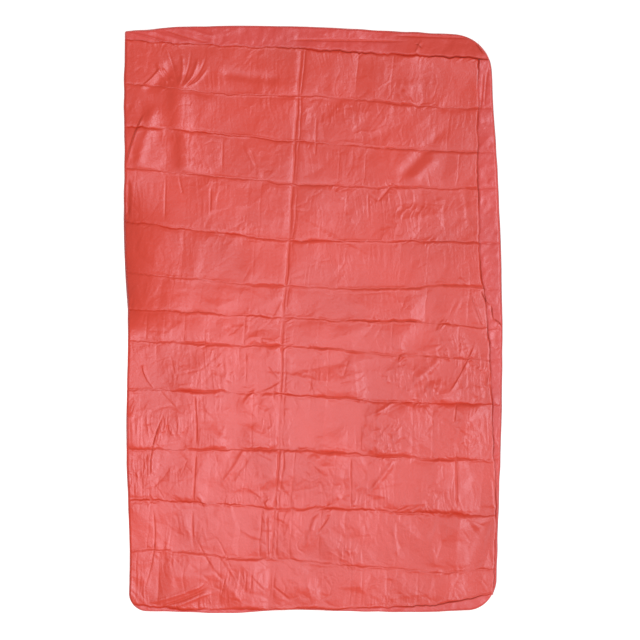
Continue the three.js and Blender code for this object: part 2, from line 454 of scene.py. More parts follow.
@dataclass(frozen=True)
class Fold:
    """One fold or crease of the face, from start to end, in millimetres.

    Attributes:
        start: Where it begins.
        end: Where it ends.
        width: Half its width.
        height: How far it stands up, or down for a groove or a line.
        shape: Its section.
        bow: How far its middle is pushed to the left of the way from start to end.
    """

    start: tuple[float, float]
    end: tuple[float, float]
    width: float
    height: float
    shape: Shape = Shape.RIDGE
    bow: float = 0

    def relief(self, x: np.ndarray, y: np.ndarray) -> np.ndarray:
        """Height that the fold adds at points of the quilt.

        Args:
            x: Places across the quilt.
            y: Places along the quilt.

        Returns:
            The height at each point.
        """
        t, side = self.place(x, y)
        fade = rise(t, END_FADE) * rise(1 - t, END_FADE)
        d = side / self.width
        if self.shape is Shape.RIDGE:
            across = 1.4 * np.exp(-d * d * 1.6)
        elif self.shape is Shape.GROOVE:
            across = -1.4 * np.exp(-d * d * 1.6)
        elif self.shape is Shape.LINE:
            across = -2.6 * np.exp(-np.abs(d) * 4.2)
        elif self.shape is Shape.CORD:
            across = -2.0 * np.exp(-np.abs(d) * 4.2)
        else:
            across = 1.7 * np.where(d < 0, np.clip(1 + d * 5, 0, 1), np.clip(1 - d, 0, 1) ** 1.5)
        return self.height * fade * across

    def place(self, x: np.ndarray, y: np.ndarray) -> tuple[np.ndarray, np.ndarray]:
        """Where points lie beside the fold.

        Args:
            x: Places across the quilt.
            y: Places along the quilt.

        Returns:
            The share of the way from start to end, and the distance to the fold's left.
        """
        sx, sy = self.start
        ex, ey = self.end
        length = math.hypot(ex - sx, ey - sy)
        ux, uy = (ex - sx) / length, (ey - sy) / length
        t = ((x - sx) * ux + (y - sy) * uy) / length
        return t, (y - sy) * ux - (x - sx) * uy - self.bow * 4 * t * (1 - t)

    def near(self, x: np.ndarray, y: np.ndarray) -> np.ndarray:
        """Which points the fold can reach.

        Args:
            x: Places across the quilt.
            y: Places along the quilt.

        Returns:
            Whether each point is within its reach.
        """
        reach = max(self.width * 3, 20) + abs(self.bow)
        low_x, high_x = sorted((self.start[0], self.end[0]))
        low_y, high_y = sorted((self.start[1], self.end[1]))
        return (x > low_x - reach) & (x < high_x + reach) & (y > low_y - reach) & (y < high_y + reach)

    def slit(self, x: np.ndarray, y: np.ndarray) -> np.ndarray:
        """How much painted shadow a cord's closed fold line puts at each point.

        Args:
            x: Places across the quilt.
            y: Places along the quilt.

        Returns:
            The share of light lost, from 0 to 1.
        """
        t, side = self.place(x, y)
        ends = rise(t, SLIT_FADE) * rise(1 - t, SLIT_FADE)
        return np.clip(self.height - 0.9, 0, 1) * np.exp(-((side / SLIT_WIDTH) ** 2)) * ends


FOLDS = (
    # Head band.
    Fold((-640, 985), (-430, 925), 9, 2.2, Shape.TUCK, 6),
    Fold((-600, 996), (-400, 940), 10, 2.0, Shape.RIDGE, 5),
    Fold((-520, 1000), (-350, 950), 8, 1.8, Shape.LINE, -4),
    Fold((-450, 1004), (-330, 968), 8, 1.6),
    Fold((-95, 962), (330, 956), 8, 2.8, Shape.LINE),
    Fold((270, 976), (590, 966), 8, 2.8, Shape.LINE),
    Fold((372, 962), (350, 915), 10, 2.4, Shape.TUCK),
    Fold((350, 948), (374, 928), 6, 1.6, Shape.CORD, 4),
    Fold((556, 952), (585, 912), 6, 1.6, Shape.CORD),
    Fold((250, 912), (640, 900), 48, 4.2),
    Fold((-80, 930), (290, 918), 34, 2.4),
    # Side band.
    Fold((585, 850), (572, 705), 8, 2.2, Shape.LINE, 3),
    Fold((604, 870), (590, 730), 7, 1.8, Shape.LINE, -3),
    Fold((578, 105), (612, 45), 8, 2.0, Shape.CORD, -6),
    Fold((612, 56), (620, -6), 7, 2.0, Shape.CORD),
    Fold((618, 4), (652, -26), 7, 2.0, Shape.CORD, 3),
    Fold((619, -538), (627, -650), 8, 2.4, Shape.LINE),
    Fold((565, -648), (628, -648), 9, 2.6, Shape.LINE),
    # Upper left.
    Fold((-575, 712), (-640, 530), 26, 3.4, Shape.TUCK, -8),
    Fold((-520, 872), (-600, 793), 22, 2.2, Shape.TUCK, 6),
    Fold((-478, 818), (-520, 868), 6, 2.2, Shape.RIDGE, 3),
    Fold((-496, 808), (-538, 884), 7, 1.8, Shape.RIDGE, 5),
    Fold((-468, 806), (-500, 930), 6, 1.6, Shape.LINE, -4),
    Fold((-460, 800), (-452, 922), 7, 1.6, Shape.RIDGE, -8),
    Fold((-455, 802), (-420, 934), 6, 2.0, Shape.LINE, -9),
    Fold((-448, 798), (-396, 900), 7, 2.0, Shape.RIDGE, -12),
    Fold((-444, 796), (-368, 908), 6, 2.0, Shape.LINE, -14),
    Fold((-436, 800), (-362, 866), 6, 1.4, Shape.RIDGE, -10),
    Fold((-430, 806), (-388, 838), 6, 1.2, Shape.LINE, -6),
    Fold((-634, 487), (-636, 342), 9, 2.4, Shape.GROOVE),
    Fold((-464, 507), (-447, 425), 6, 1.5, Shape.LINE),
    Fold((-506, 507), (-510, 337), 7, 1.2, Shape.LINE),
    Fold((-351, 459), (-353, 370), 7, 1.5, Shape.LINE),
    Fold((-310, 624), (-312, 507), 6, 1.3, Shape.LINE),
    Fold((-237, 597), (-175, 480), 8, 1.5),
    Fold((-215, 590), (-190, 500), 7, 1.2, Shape.GROOVE),
    # Upper right.
    Fold((464, 680), (279, 473), 26, 3.0, Shape.GROOVE, 8),
    Fold((430, 560), (330, 470), 24, 2.0, Shape.RIDGE),
    Fold((279, 473), (222, 404), 12, 1.6, Shape.LINE),
    Fold((170, 460), (222, 404), 9, 1.4, Shape.LINE),
    Fold((12, 700), (8, 560), 7, 1.8, Shape.LINE),
    Fold((79, 445), (103, 411), 6, 1.4),
    Fold((113, 370), (140, 326), 7, 1.3),
    Fold((189, 439), (192, 335), 7, 1.4, Shape.LINE),
    Fold((306, 796), (354, 720), 8, 1.7),
    Fold((288, 780), (330, 715), 7, 1.3),
    Fold((519, 445), (540, 308), 12, 1.6, Shape.GROOVE),
    Fold((540, 95), (585, -29), 10, 2.2, Shape.TUCK),
    Fold((500, 145), (545, 105), 7, 1.4),
    # Lower left.
    Fold((-588, -150), (-540, -243), 13, 2.8, Shape.TUCK, -10),
    Fold((-530, -238), (-468, -306), 7, 1.6, Shape.CORD),
    Fold((-508, -315), (-562, -545), 7, 1.5, Shape.CORD, -14),
    Fold((-552, -640), (-584, -935), 7, 1.4, Shape.CORD, 22),
    Fold((-396, -760), (-300, -905), 7, 1.3, Shape.CORD, -9),
    Fold((-632, -70), (-634, -205), 7, 1.4, Shape.CORD),
    Fold((-300, -880), (-318, -960), 6, 1.2, Shape.CORD),
    Fold((-215, -880), (-165, -935), 6, 1.2, Shape.CORD),
    Fold((-570, -975), (-361, -905), 10, 2.4, Shape.RIDGE, -6),
    Fold((-520, -985), (-355, -922), 8, 2.2, Shape.LINE, -5),
    Fold((-480, -990), (-345, -935), 8, 1.8, Shape.RIDGE),
    Fold((-409, -243), (-402, -449), 8, 1.5, Shape.LINE, 4),
    Fold((-402, -449), (-413, -655), 8, 1.5, Shape.LINE),
    Fold((-413, -655), (-409, -790), 8, 1.8, Shape.LINE, -4),
    Fold((-230, -435), (-320, -573), 9, 1.6, Shape.RIDGE, 5),
    Fold((-205, -445), (-285, -560), 8, 1.2, Shape.GROOVE, 5),
    Fold((-230, -105), (-231, -232), 7, 1.6, Shape.LINE),
    Fold((-157, -160), (-118, -210), 6, 1.4, Shape.LINE),
    Fold((-141, -915), (-79, -965), 7, 1.6, Shape.LINE),
    Fold((-158, -662), (-155, -827), 7, 1.6, Shape.LINE),
    # Lower right.
    Fold((478, -139), (325, -272), 20, 2.6, Shape.GROOVE, 4),
    Fold((450, -125), (320, -235), 18, 1.8, Shape.RIDGE, 4),
    Fold((561, -71), (464, -258), 16, 2.2, Shape.TUCK, 8),
    Fold((286, -277), (206, -332), 7, 1.6),
    Fold((131, -466), (131, -655), 7, 1.8, Shape.LINE),
    Fold((286, -476), (189, -607), 12, 2.4),
    Fold((492, -284), (485, -358), 8, 1.6, Shape.LINE),
    Fold((492, -449), (495, -655), 9, 2.0, Shape.LINE),
    Fold((612, -676), (526, -950), 20, 3.0, Shape.GROOVE, -10),
    Fold((144, -277), (151, -463), 7, 1.5, Shape.LINE),
    Fold((17, -662), (-31, -793), 10, 1.7),
    Fold((279, -697), (289, -820), 9, 1.4),
    Fold((60, -670), (10, -740), 8, 1.4, Shape.LINE),
)


SWELLS = (
    Fold((-462, 845), (-457, 628), 50, 6.4),
    Fold((-446, 672), (-442, 486), 34, 4.4),
    Fold((-535, 752), (-612, 500), 30, 4.6, Shape.RIDGE, -6),
    Fold((-470, 890), (-580, 780), 26, 2.6, Shape.GROOVE, 8),
    Fold((-330, 850), (-110, 822), 22, 3.0, Shape.GROOVE),
)


@dataclass
class Relief:
    """Heights of the laid face over the quilt, in millimetres above the ground.

    Attributes:
        plan: Where edges, rows and seams lie.
        valley: The lowest that the face comes down at a row.
        loft: How far the middle of a channel arches up.
        shoulder: How far the cloth stands above a row right beside it.
        steepness: How far from a row it gets there.
        pane_rise: How far the panes between upright creases tilt.
        crease_depth: Depth of the long crease.
        band_rise: Height of the turned bands.
        edge: Height of the lowest cloth at the outline.
        back_base: Height of the back cloth where it lies on the ground.
        back_lift: The most that it lifts off.
        facets: Rise of the large, medium, small and tiny facets.
        creases: Depth of the upright creases and of those that run any way.
        strokes: Rise of the short creases between small and tiny facets.
        ripples: Rise of the fine and the wavy ripples.
        gather: Rise of the gathers beside the rows.
        doubled: Depth of the second line beside the long crease.
        pressed: How far the cloth sinks beside a row where it has been pressed down.
        left_fall: How far the face seems to fall towards the left edge.

    In its methods, what a place is divided by inside a noise is a wavelength, and other distances in an
    exponential are how far an effect reaches.
    """

    plan: Plan
    valley: float = 2.6
    loft: float = 0.9
    shoulder: float = 3.3
    steepness: float = 1.9
    pane_rise: float = 4.0
    crease_depth: float = 4.4
    band_rise: float = 4.4
    edge: float = 1.0
    back_base: float = 0.25
    back_lift: float = 1.35
    facets: tuple[float, float, float, float] = (3.4, 2.4, 0.9, 0.4)
    creases: tuple[float, float] = (0.9, 1.1)
    strokes: tuple[float, float] = (1.2, 0.5)
    ripples: tuple[float, float] = (1.1, 1.3)
    gather: float = 1.3
    doubled: float = 2.6
    pressed: float = 2.2
    left_fall: float = 44

    SHARP: ClassVar[float] = 16
    SOFT_FLOOR: ClassVar[float] = 2.0
    PANE_START: ClassVar[float] = -640
    PANE_WIDTHS: ClassVar[tuple[float, float, int]] = (38, 128, 30)
    MARGIN: ClassVar[float] = 40

    def __post_init__(self) -> None:
        """Draws the noise and the facets once."""
        half_width = self.plan.right + self.MARGIN
        half_length = self.plan.head + self.MARGIN
        self.large = CreaseNet(3, half_width, half_length, (118, 96))
        self.medium = CreaseNet(4, half_width, half_length, (48, 74))
        self.small = CreaseNet(5, half_width, half_length, (20, 42))
        self.tiny = CreaseNet(6, half_width, half_length, (10, 24))
        self.upright = CreaseNet(12, half_width, half_length, (34, 120))
        self.wild = CreaseNet(13, half_width, half_length, (52, 84))
        self.noise = [SmoothNoise(seed) for seed in range(20, 32)]
        self.panes = self._draw_panes()

    def _draw_panes(self) -> list[tuple[np.ndarray, np.ndarray, np.ndarray]]:
        """Places the upright creases of each channel, with the cloth's height and their depth there.

        Returns:
            The creases' places, heights and depths for each channel.
        """
        rng = np.random.default_rng(8)
        panes = []
        for _ in range(len(self.plan.rows) - 1):
            places = np.cumsum(rng.uniform(*self.PANE_WIDTHS)) + self.PANE_START
            middle = np.argmin(np.abs(places))
            places = np.append(np.delete(places, middle), 0.0)
            places.sort()
            heights = rng.uniform(-1, 1, len(places))
            depths = rng.uniform(-0.4, 1.6, len(places))
            panes.append((places, heights, np.maximum(depths, 0)))
        return panes

    def pane(self, channel: int, x: np.ndarray, y: np.ndarray) -> np.ndarray:
        """Flat upright panes of a channel, which meet in creases parallel to the long one.

        Args:
            channel: 0 for the channel next to the head band.
            x: Places across the quilt.
            y: Places along the quilt.

        Returns:
            The height at each point.
        """
        places, heights, depths = self.panes[channel]
        from_crease = x - self.plan.long_crease(y) + 1.5 * self.noise[4].at(y / 26, x * 0 + channel)
        nearest = np.searchsorted((places[1:] + places[:-1]) / 2, from_crease)
        lines = depths[nearest] * np.exp(-np.abs(from_crease - places[nearest]) / 2.2)
        return self.pane_rise * np.interp(from_crease, places, heights) - lines

    def crumple(self, x: np.ndarray, y: np.ndarray) -> np.ndarray:
        """The facets, sharp creases and ripples that packing leaves all over the cloth.

        Args:
            x: Places across the quilt.
            y: Places along the quilt.

        Returns:
            The height at each point.
        """
        n = self.noise
        rough = np.clip(0.7 + 1.0 * n[0].at(x / 130, y / 100), 0.1, 1.7)
        small, tiny = self.small.at(x, y), self.tiny.at(x, y)
        rises = self.facets
        facets = rises[0] * self.large.at(x, y) + rises[1] * self.medium.at(x, y)
        facets = facets + (rises[2] * small + rises[3] * tiny) * rough
        upright = np.exp(-np.abs(self.upright.at(x, y)) * self.SHARP)
        upright = upright * np.clip(0.5 + n[1].at(x / 110, y / 80), 0, 1.2)
        wild = np.exp(-np.abs(self.wild.at(x, y)) * self.SHARP)
        wild = wild * np.clip(0.1 + 1.5 * n[11].at(x / 52, y / 52), 0, 1)
        strokes = np.exp(-np.abs(small) * 9) * n[9].at(x / 30 + 9, y / 38) * rough
        ticks = np.exp(-np.abs(tiny) * 6) * n[10].at(x / 22 + 4, y / 26) * rough
        strong = np.clip(0.4 + 0.9 * n[1].at(x / 120, y / 90 + 40), 0, 1.2)
        lean = x + 0.06 * y
        fine = n[2].at(lean / 10 + 2 * n[3].at(x / 80, y / 120), y / 75)
        wavy = np.abs(n[5].at(x / 12 + 1.1 * n[6].at(x / 45, y / 50), y / 70))
        ripples = self.ripples[0] * (0.5 - np.abs(fine)) * strong
        ripples = ripples + self.ripples[1] * np.exp(-wavy * 7) * strong * rough
        creases = self.creases[0] * upright + self.creases[1] * wild
        return facets + ripples - creases + self.strokes[0] * strokes + self.strokes[1] * ticks

    @staticmethod
    def worn(x: np.ndarray, y: np.ndarray) -> np.ndarray:
        """How strongly the cloth is crumpled, which is least at the head and most right of the middle."""
        right_of_middle = rise(x + 40, 120) * np.exp(-(((y + 190) / 210) ** 2))
        return 0.64 + 0.48 * rise(150 - y, 350) + 0.44 * right_of_middle

    def puckers(self, row: int, x: np.ndarray, distance: np.ndarray) -> np.ndarray:
        """Gathers beside a quilting row, which fade away from it.

        Args:
            row: The row that they run into.
            x: Places across the quilt.
            distance: How far each point is from the row, and negative on its foot side.

        Returns:
            The height at each point.
        """
        n = self.noise
        away = np.abs(distance)
        shift = np.full_like(x, row * 7.7)
        fan = x + distance * 2.2 * n[6].at(x / 45, shift)
        strength = np.clip(0.3 + 1.6 * n[7].at(x / 42, shift + 3), 0.1, 1.6)
        reach = 7 + 26 * (0.5 + 0.5 * n[8].at(x / 26, shift + 9)) ** 2
        wave = 1.2 * (0.5 - np.abs(n[9].at(fan / 8, shift))) + 0.9 * n[10].at(fan / 11, shift + 5)
        return self.gather * wave * strength * rise(away, 3) * np.exp(-((away / reach) ** 2))

    @staticmethod
    def folds(x: np.ndarray, y: np.ndarray) -> np.ndarray:
        """All the placed folds together.

        Args:
            x: Places across the quilt.
            y: Places along the quilt.

        Returns:
            The height at each point.
        """
        total = np.zeros_like(x)
        for fold in FOLDS:
            near = fold.near(x, y)
            total[near] += fold.relief(x[near], y[near])
        return total

    def seam_shade(self, away: np.ndarray, along: np.ndarray) -> np.ndarray:
        """Painted shade close beside a seam, which changes along the seam."""
        shadowed_parts = np.clip(0.45 + 1.3 * self.noise[3].at(along / 60 + 7, along * 0 + 4.4), 0, 1)
        return 1.7 * shadowed_parts * np.exp(-away / 1.4)

    @staticmethod
    def slits(x: np.ndarray, y: np.ndarray) -> np.ndarray:
        """How much painted shadow the cords' fold lines put at each point.

        Args:
            x: Places across the quilt.
            y: Places along the quilt.

        Returns:
            The share of light lost at each point.
        """
        total = np.zeros_like(x)
        for fold in FOLDS:
            if fold.shape is Shape.CORD:
                near = fold.near(x, y)
                total[near] += fold.slit(x[near], y[near])
        return total

    def channel(self, channel: int, share: np.ndarray, x: np.ndarray, y: np.ndarray) -> np.ndarray:
        """Face height inside a channel.

        Args:
            channel: 0 for the channel next to the head band.
            share: 0 at the channel's head row, 1 at its foot row.
            x: Places across the quilt.
            y: Places along the quilt.

        Returns:
            The height at each point.
        """
        plan = self.plan
        depth = plan.row(channel, x) - plan.row(channel + 1, x)
        to_row = np.minimum(share, 1 - share) * depth
        arch = np.sin(np.clip(share, 0, 1) * np.pi) ** 0.8
        steep = 1 - np.exp(-to_row / self.steepness)
        tightness = self.tightness(channel, share, x)
        off_seam = rise(plan.side_seam(y) - x, 5)
        off_left = rise(x - plan.left_edge(y), 7)
        height = self.shoulder * (1 - tightness * (1 - steep)) + self.loft * arch
        to_head, to_foot = share * depth, (1 - share) * depth
        height = height - self.slack(channel, x, to_head) - self.slack(-channel - 1, x, to_foot)
        loose = 0.45 + 0.55 * rise(to_row, 16)
        worn = self.worn(x, y)
        panes = self.pane(channel, x, y) * np.minimum(worn, 1)
        height = height + (panes + self.groove(x, y)) * rise(to_row, 9)
        height = height + self.crumple(x, y) * loose * steep * worn
        height = height + self.folds(x, y) * (0.35 + 0.65 * steep)
        gathers = self.puckers(channel, x, -to_head) + self.puckers(channel + 1, x, to_foot)
        height = height + gathers * worn
        soft = self.SOFT_FLOOR
        height = np.where(height > soft, height, soft * np.exp(np.minimum(height, soft) / soft - 1))
        height = height * (0.3 + 0.7 * off_left) * (0.45 + 0.55 * off_seam)
        return self.floor_line(off_left) + height

    def groove(self, x: np.ndarray, y: np.ndarray) -> np.ndarray:
        """The long crease, with a fainter second line beside it.

        Args:
            x: Places across the quilt.
            y: Places along the quilt.

        Returns:
            The height at each point, below 0.
        """
        crease = np.abs(x - self.plan.long_crease(y))
        groove = -self.crease_depth * np.exp(-crease / 3.2) - 1.4 * np.exp(-((crease / 15) ** 2))
        beside = 13 + 4 * self.noise[3].at(y / 70, np.full_like(y, 5.0))
        second = np.abs(x - self.plan.long_crease(y) - beside)
        strength = np.clip(0.6 + self.noise[1].at(y / 90, y * 0 + 3.3), 0, 1)
        return groove - self.doubled * np.exp(-second / 3.2) * strength

    def billow(self, x: np.ndarray, y: np.ndarray) -> np.ndarray:
        """Broad swells of the face, which are too soft to model and only tilt the light.

        Args:
            x: Places across the quilt.
            y: Places along the quilt.

        Returns:
            The seeming height at each point.
        """
        off_left = x - self.plan.left_edge(y)
        upper = rise(y + 60, 160) * rise(520 - y, 180)
        total = -self.left_fall * upper * np.exp(-off_left / 85)
        for swell in SWELLS:
            total = total + swell.relief(x, y)
        return total

    def tightness(self, channel: int, share: np.ndarray, x: np.ndarray) -> np.ndarray:
        """How hard the nearest row pulls the cloth down at each point, from 0 to 1.

        Args:
            channel: 0 for the channel next to the head band.
            share: 0 at the channel's head row, 1 at its foot row.
            x: Places across the quilt.

        Returns:
            The pull at each point.
        """
        row = channel + (np.asarray(share) > 0.5)
        pull = 0.72 + 0.5 * self.noise[8].at(x / 34, row * 9.7) + 0.35 * self.noise[10].at(x / 9, row * 4.3)
        return np.clip(pull, 0.25, 1)

    def slack(self, side: int, x: np.ndarray, away: np.ndarray) -> np.ndarray:
        """How far the cloth sinks towards a row, in the stretches where it has been pressed down."""
        pressed = np.clip(2.4 * self.noise[7].at(x / 95 + 13, np.full_like(x, side * 6.1)) - 0.3, 0, 1)
        return self.pressed * pressed * np.exp(-((away / 17) ** 2))

    def floor_line(self, off_edge: np.ndarray) -> np.ndarray:
        """Height of the lowest cloth, which drops to the ground at the outline."""
        return self.edge + (self.valley - self.edge) * off_edge

    def turned_edge(
        self, inside: np.ndarray, outside: np.ndarray, x: np.ndarray, y: np.ndarray
    ) -> np.ndarray:
        """Height of a turned band.

        Args:
            inside: Distance from the band's seam.
            outside: Distance from the quilt's outline.
            x: Places across the quilt.
            y: Places along the quilt.

        Returns:
            The height at each point.
        """
        n = self.noise
        body = self.band_rise * (1 - 0.65 * np.exp(-inside / 2))
        ripples = 0.5 * n[6].at(x / 13 + 40, y / 15) + 0.5 * n[7].at(x / 26, y / 30 + 60)
        facets = 1.0 * self.small.at(x + 11, y - 7) + 2.2 * self.medium.at(x - 9, y + 5)
        small = np.exp(-np.abs(self.small.at(x - 5, y + 9)) * 9) * n[9].at(x / 30 + 3, y / 34)
        facets = facets + 1.6 * small
        height = np.maximum(body + (ripples + facets + self.folds(x, y)) * rise(inside, 5), 0.2)
        off_edge = rise(outside, 6)
        return self.floor_line(off_edge) + height * (0.1 + 0.9 * off_edge)

    def back(
        self, to_row: np.ndarray, off_edge: np.ndarray, x: np.ndarray, y: np.ndarray
    ) -> np.ndarray:
        """Height of the back panel, which lies on the ground and lifts along rows, creases and wrinkles.

        Args:
            to_row: Distance from the nearest quilting row.
            off_edge: Distance from the outline.
            x: Places across the quilt.
            y: Places along the quilt.

        Returns:
            The height at each point.
        """
        n = self.noise
        crease = np.exp(-np.abs(x - self.plan.long_crease(y)) / 3)
        lines = 1.3 * np.exp(-to_row / 3) + 1.3 * crease
        lines = lines + 0.9 * np.exp(-np.abs(self.upright.at(x + 17, y - 31)) * 14)
        lines = lines + 0.8 * np.exp(-np.abs(self.wild.at(x - 23, y + 11)) * 14)
        gathers = n[9].at(x / 7 + 31, to_row * 0) * np.exp(-to_row / 22)
        gathers = gathers * np.clip(0.3 + n[7].at(x / 60, y / 60), 0, 1)
        facets = 0.7 * self.medium.at(x + 37, y + 21) + 0.5 * self.small.at(x - 14, y + 33)
        ripples = 0.5 * n[2].at((x + 0.06 * y) / 10 + 50, y / 90)
        lift = np.clip(0.35 + facets + ripples + 0.8 * gathers, 0, self.back_lift) + lines
        return self.back_base + np.minimum(lift, self.back_lift) * rise(off_edge, 12)


# ---- Cloth pieces ------------------------------------------------------------------------------------


@dataclass
class Grid:
    """Points of a laid sheet in millimetres, one array row for each line along x, from foot to head."""

    x: np.ndarray
    y: np.ndarray
    z: np.ndarray

    def skirted(self, head: bool = False, left: bool = False, right: bool = False) -> Grid:
        """The same sheet with chosen edges carried straight down to the ground.

        Args:
            head: Whether the last line's edge goes down.
            left: Whether the left edge goes down.
            right: Whether the right edge goes down.

        Returns:
            The larger grid.
        """
        sides = ((0, int(head)), (int(left), int(right)))
        x, y, z = (np.pad(a, sides, mode="edge") for a in (self.x, self.y, self.z))
        for cut, used in ((np.s_[-1:], head), (np.s_[:, :1], left), (np.s_[:, -1:], right)):
            if used:
                z[cut] = SKIRT_HEIGHT
        return Grid(x, y, z)

    def painted_shade(self, full: float = 2.2) -> np.ndarray:
        """Painted shade from how far each point lies below the cloth around it, as a share of a full depth,
        from 0 to 1.
        """
        return np.clip((blurred(self.z, 5) - self.z) / full, 0, 1)


def blurred(values: np.ndarray, reach: int) -> np.ndarray:
    """Mean of each value's neighbours in a grid.

    Args:
        values: The grid of values.
        reach: How many cells away a neighbour may be.

    Returns:
        A grid of the same shape.
    """
    width = 2 * reach + 1
    padded = np.pad(values, reach, mode="edge")
    total = np.cumsum(np.cumsum(np.pad(padded, ((1, 0), (1, 0))), 0), 1)
    strips = total[width:] - total[:-width]
    return (strips[:, width:] - strips[:, :-width]) / width**2


def ruled(first: np.ndarray, second: np.ndarray, shares: np.ndarray) -> tuple[np.ndarray, np.ndarray]:
    """Points on straight lines between two curves.

    Args:
        first: Points of the first curve.
        second: As many points of the second curve.
        shares: Where along the lines to put points, 0 on the first curve.

    Returns:
        Places across and along, one row for each share.
    """
    points = first[None] * (1 - shares)[:, None, None] + second[None] * shares[:, None, None]
    return points[..., 0], points[..., 1]


def by_length(points: np.ndarray, count: int) -> np.ndarray:
    """A run of points spread evenly along a line.

    Args:
        points: The line.
        count: How many points to give.

    Returns:
        The evenly spread points, ends included.
    """
    lengths = np.concatenate([[0], np.cumsum(np.hypot(*np.diff(points, axis=0).T))])
    at = np.linspace(0, lengths[-1], count)
    return np.stack([np.interp(at, lengths, points[:, k]) for k in (0, 1)], -1)


def sheet_object(
    name: str,
    grid: Grid,
    finish: bpy.types.Material,
    painted_shade: np.ndarray,
    face_up: bool = True,
    billow: np.ndarray | None = None,
) -> bpy.types.Object:
    """Makes a smooth sheet from a grid, with its flat pattern as a UV map.

    Args:
        name: The piece's name.
        grid: The laid sheet.
        finish: Its material.
        painted_shade: How much painted shade each point takes, from creases, seams and cord lines.
        face_up: Whether its faces point up.
        billow: How far each point seems to swell, in millimetres.

    Returns:
        The new object.
    """
    rows, columns = grid.x.shape
    points = np.stack([grid.x, grid.y, grid.z], -1).reshape(-1, 3) * MM
    index = np.arange(rows * columns).reshape(rows, columns)
    a, b, c, d = index[:-1, :-1], index[:-1, 1:], index[1:, 1:], index[1:, :-1]
    quads = np.stack((a, b, c, d) if face_up else (a, d, c, b), -1).reshape(-1, 4)
    swell = None if billow is None else billow.ravel()
    return mesh_object(name, points, quads, finish, painted_shade.ravel(), swell)


def mesh_object(
    name: str,
    points: np.ndarray,
    quads: np.ndarray,
    finish: bpy.types.Material,
    painted_shade: np.ndarray,
    billow: np.ndarray | None = None,
) -> bpy.types.Object:
    """Makes a smooth mesh of four-sided faces.

    Args:
        name: The piece's name.
        points: Places in metres.
        quads: Four point numbers for each face.
        finish: Its material.
        painted_shade: The painted shade at each point, kept as the attribute that the cloth finish reads.
        billow: How far each point seems to swell, in millimetres, which only tilts the light.

    Returns:
        The new object.
    """
    mesh = bpy.data.meshes.new(name)
    mesh.vertices.add(len(points))
    mesh.vertices.foreach_set("co", points.astype(np.float32).ravel())
    mesh.loops.add(quads.size)
    mesh.loops.foreach_set("vertex_index", quads.astype(np.int32).ravel())
    mesh.polygons.add(len(quads))
    mesh.polygons.foreach_set("loop_start", np.arange(0, quads.size, 4, dtype=np.int32))
    mesh.polygons.foreach_set("loop_total", np.full(len(quads), 4, np.int32))
    mesh.polygons.foreach_set("use_smooth", np.ones(len(quads), bool))
    mesh.update(calc_edges=True)
    flat = mesh.uv_layers.new(name=UV_NAME)
    pattern = points[quads.ravel(), :2] / UV_SPAN + 0.5
    flat.data.foreach_set("uv", pattern.astype(np.float32).ravel())
    kept = {PAINTED_SHADE_ATTRIBUTE: painted_shade} if billow is None else {PAINTED_SHADE_ATTRIBUTE: painted_shade, BILLOW: billow * MM}
    for label, values in kept.items():
        mesh.attributes.new(label, "FLOAT", "POINT").data.foreach_set("value", values.astype(np.float32))
    mesh.materials.append(finish)
    piece = bpy.data.objects.new(name, mesh)
    bpy.context.scene.collection.objects.link(piece)
    return piece


# ---- Finishes ----------------------------------------------------------------------------------------


class Nodes:
    """A short way to lay out shader nodes in a tree."""

    def __init__(self, tree: bpy.types.NodeTree) -> None:
        """Starts on a tree."""
        self.tree = tree

    def add(self, kind: str, values: dict | None = None, **settings: object) -> bpy.types.Node:
        """Adds a node.

        Args:
            kind: The node's type.
            values: Input names or numbers with a value, or with a socket to link from.
            settings: The node's own properties.

        Returns:
            The new node.
        """
        node = self.tree.nodes.new(kind)
        for name, value in settings.items():
            setattr(node, name, value)
        for key, value in (values or {}).items():
            if isinstance(value, bpy.types.NodeSocket):
                self.tree.links.new(value, node.inputs[key])
            else:
                node.inputs[key].default_value = value
        return node

    def sum(self, kind: str, first: object, second: object) -> bpy.types.NodeSocket:
        """The result of one sum of two values or sockets."""
        return self.add("ShaderNodeMath", {0: first, 1: second}, operation=kind).outputs[0]

    def noise(self, place: object, scale: float, detail: float, rough: float = 0.5) -> bpy.types.NodeSocket:
        """Cloudy noise over a surface."""
        values = {"Vector": place, "Scale": scale, "Detail": detail, "Roughness": rough}
        return self.add("ShaderNodeTexNoise", values).outputs[0]

    def mix(self, first: object, second: object, share: object, kind: str = "MIX") -> bpy.types.NodeSocket:
        """A mix of two colours."""
        values = {6: first, 7: second, 0: share}
        return self.add("ShaderNodeMix", values, data_type="RGBA", blend_type=kind).outputs[2]

    def spread(self, value: object, start: float, end: float, full: float) -> bpy.types.NodeSocket:
        """A value stretched so that start gives 0 and end gives full."""
        return self.add("ShaderNodeMapRange", {0: value, 1: start, 2: end, 3: 0.0, 4: full}).outputs[0]


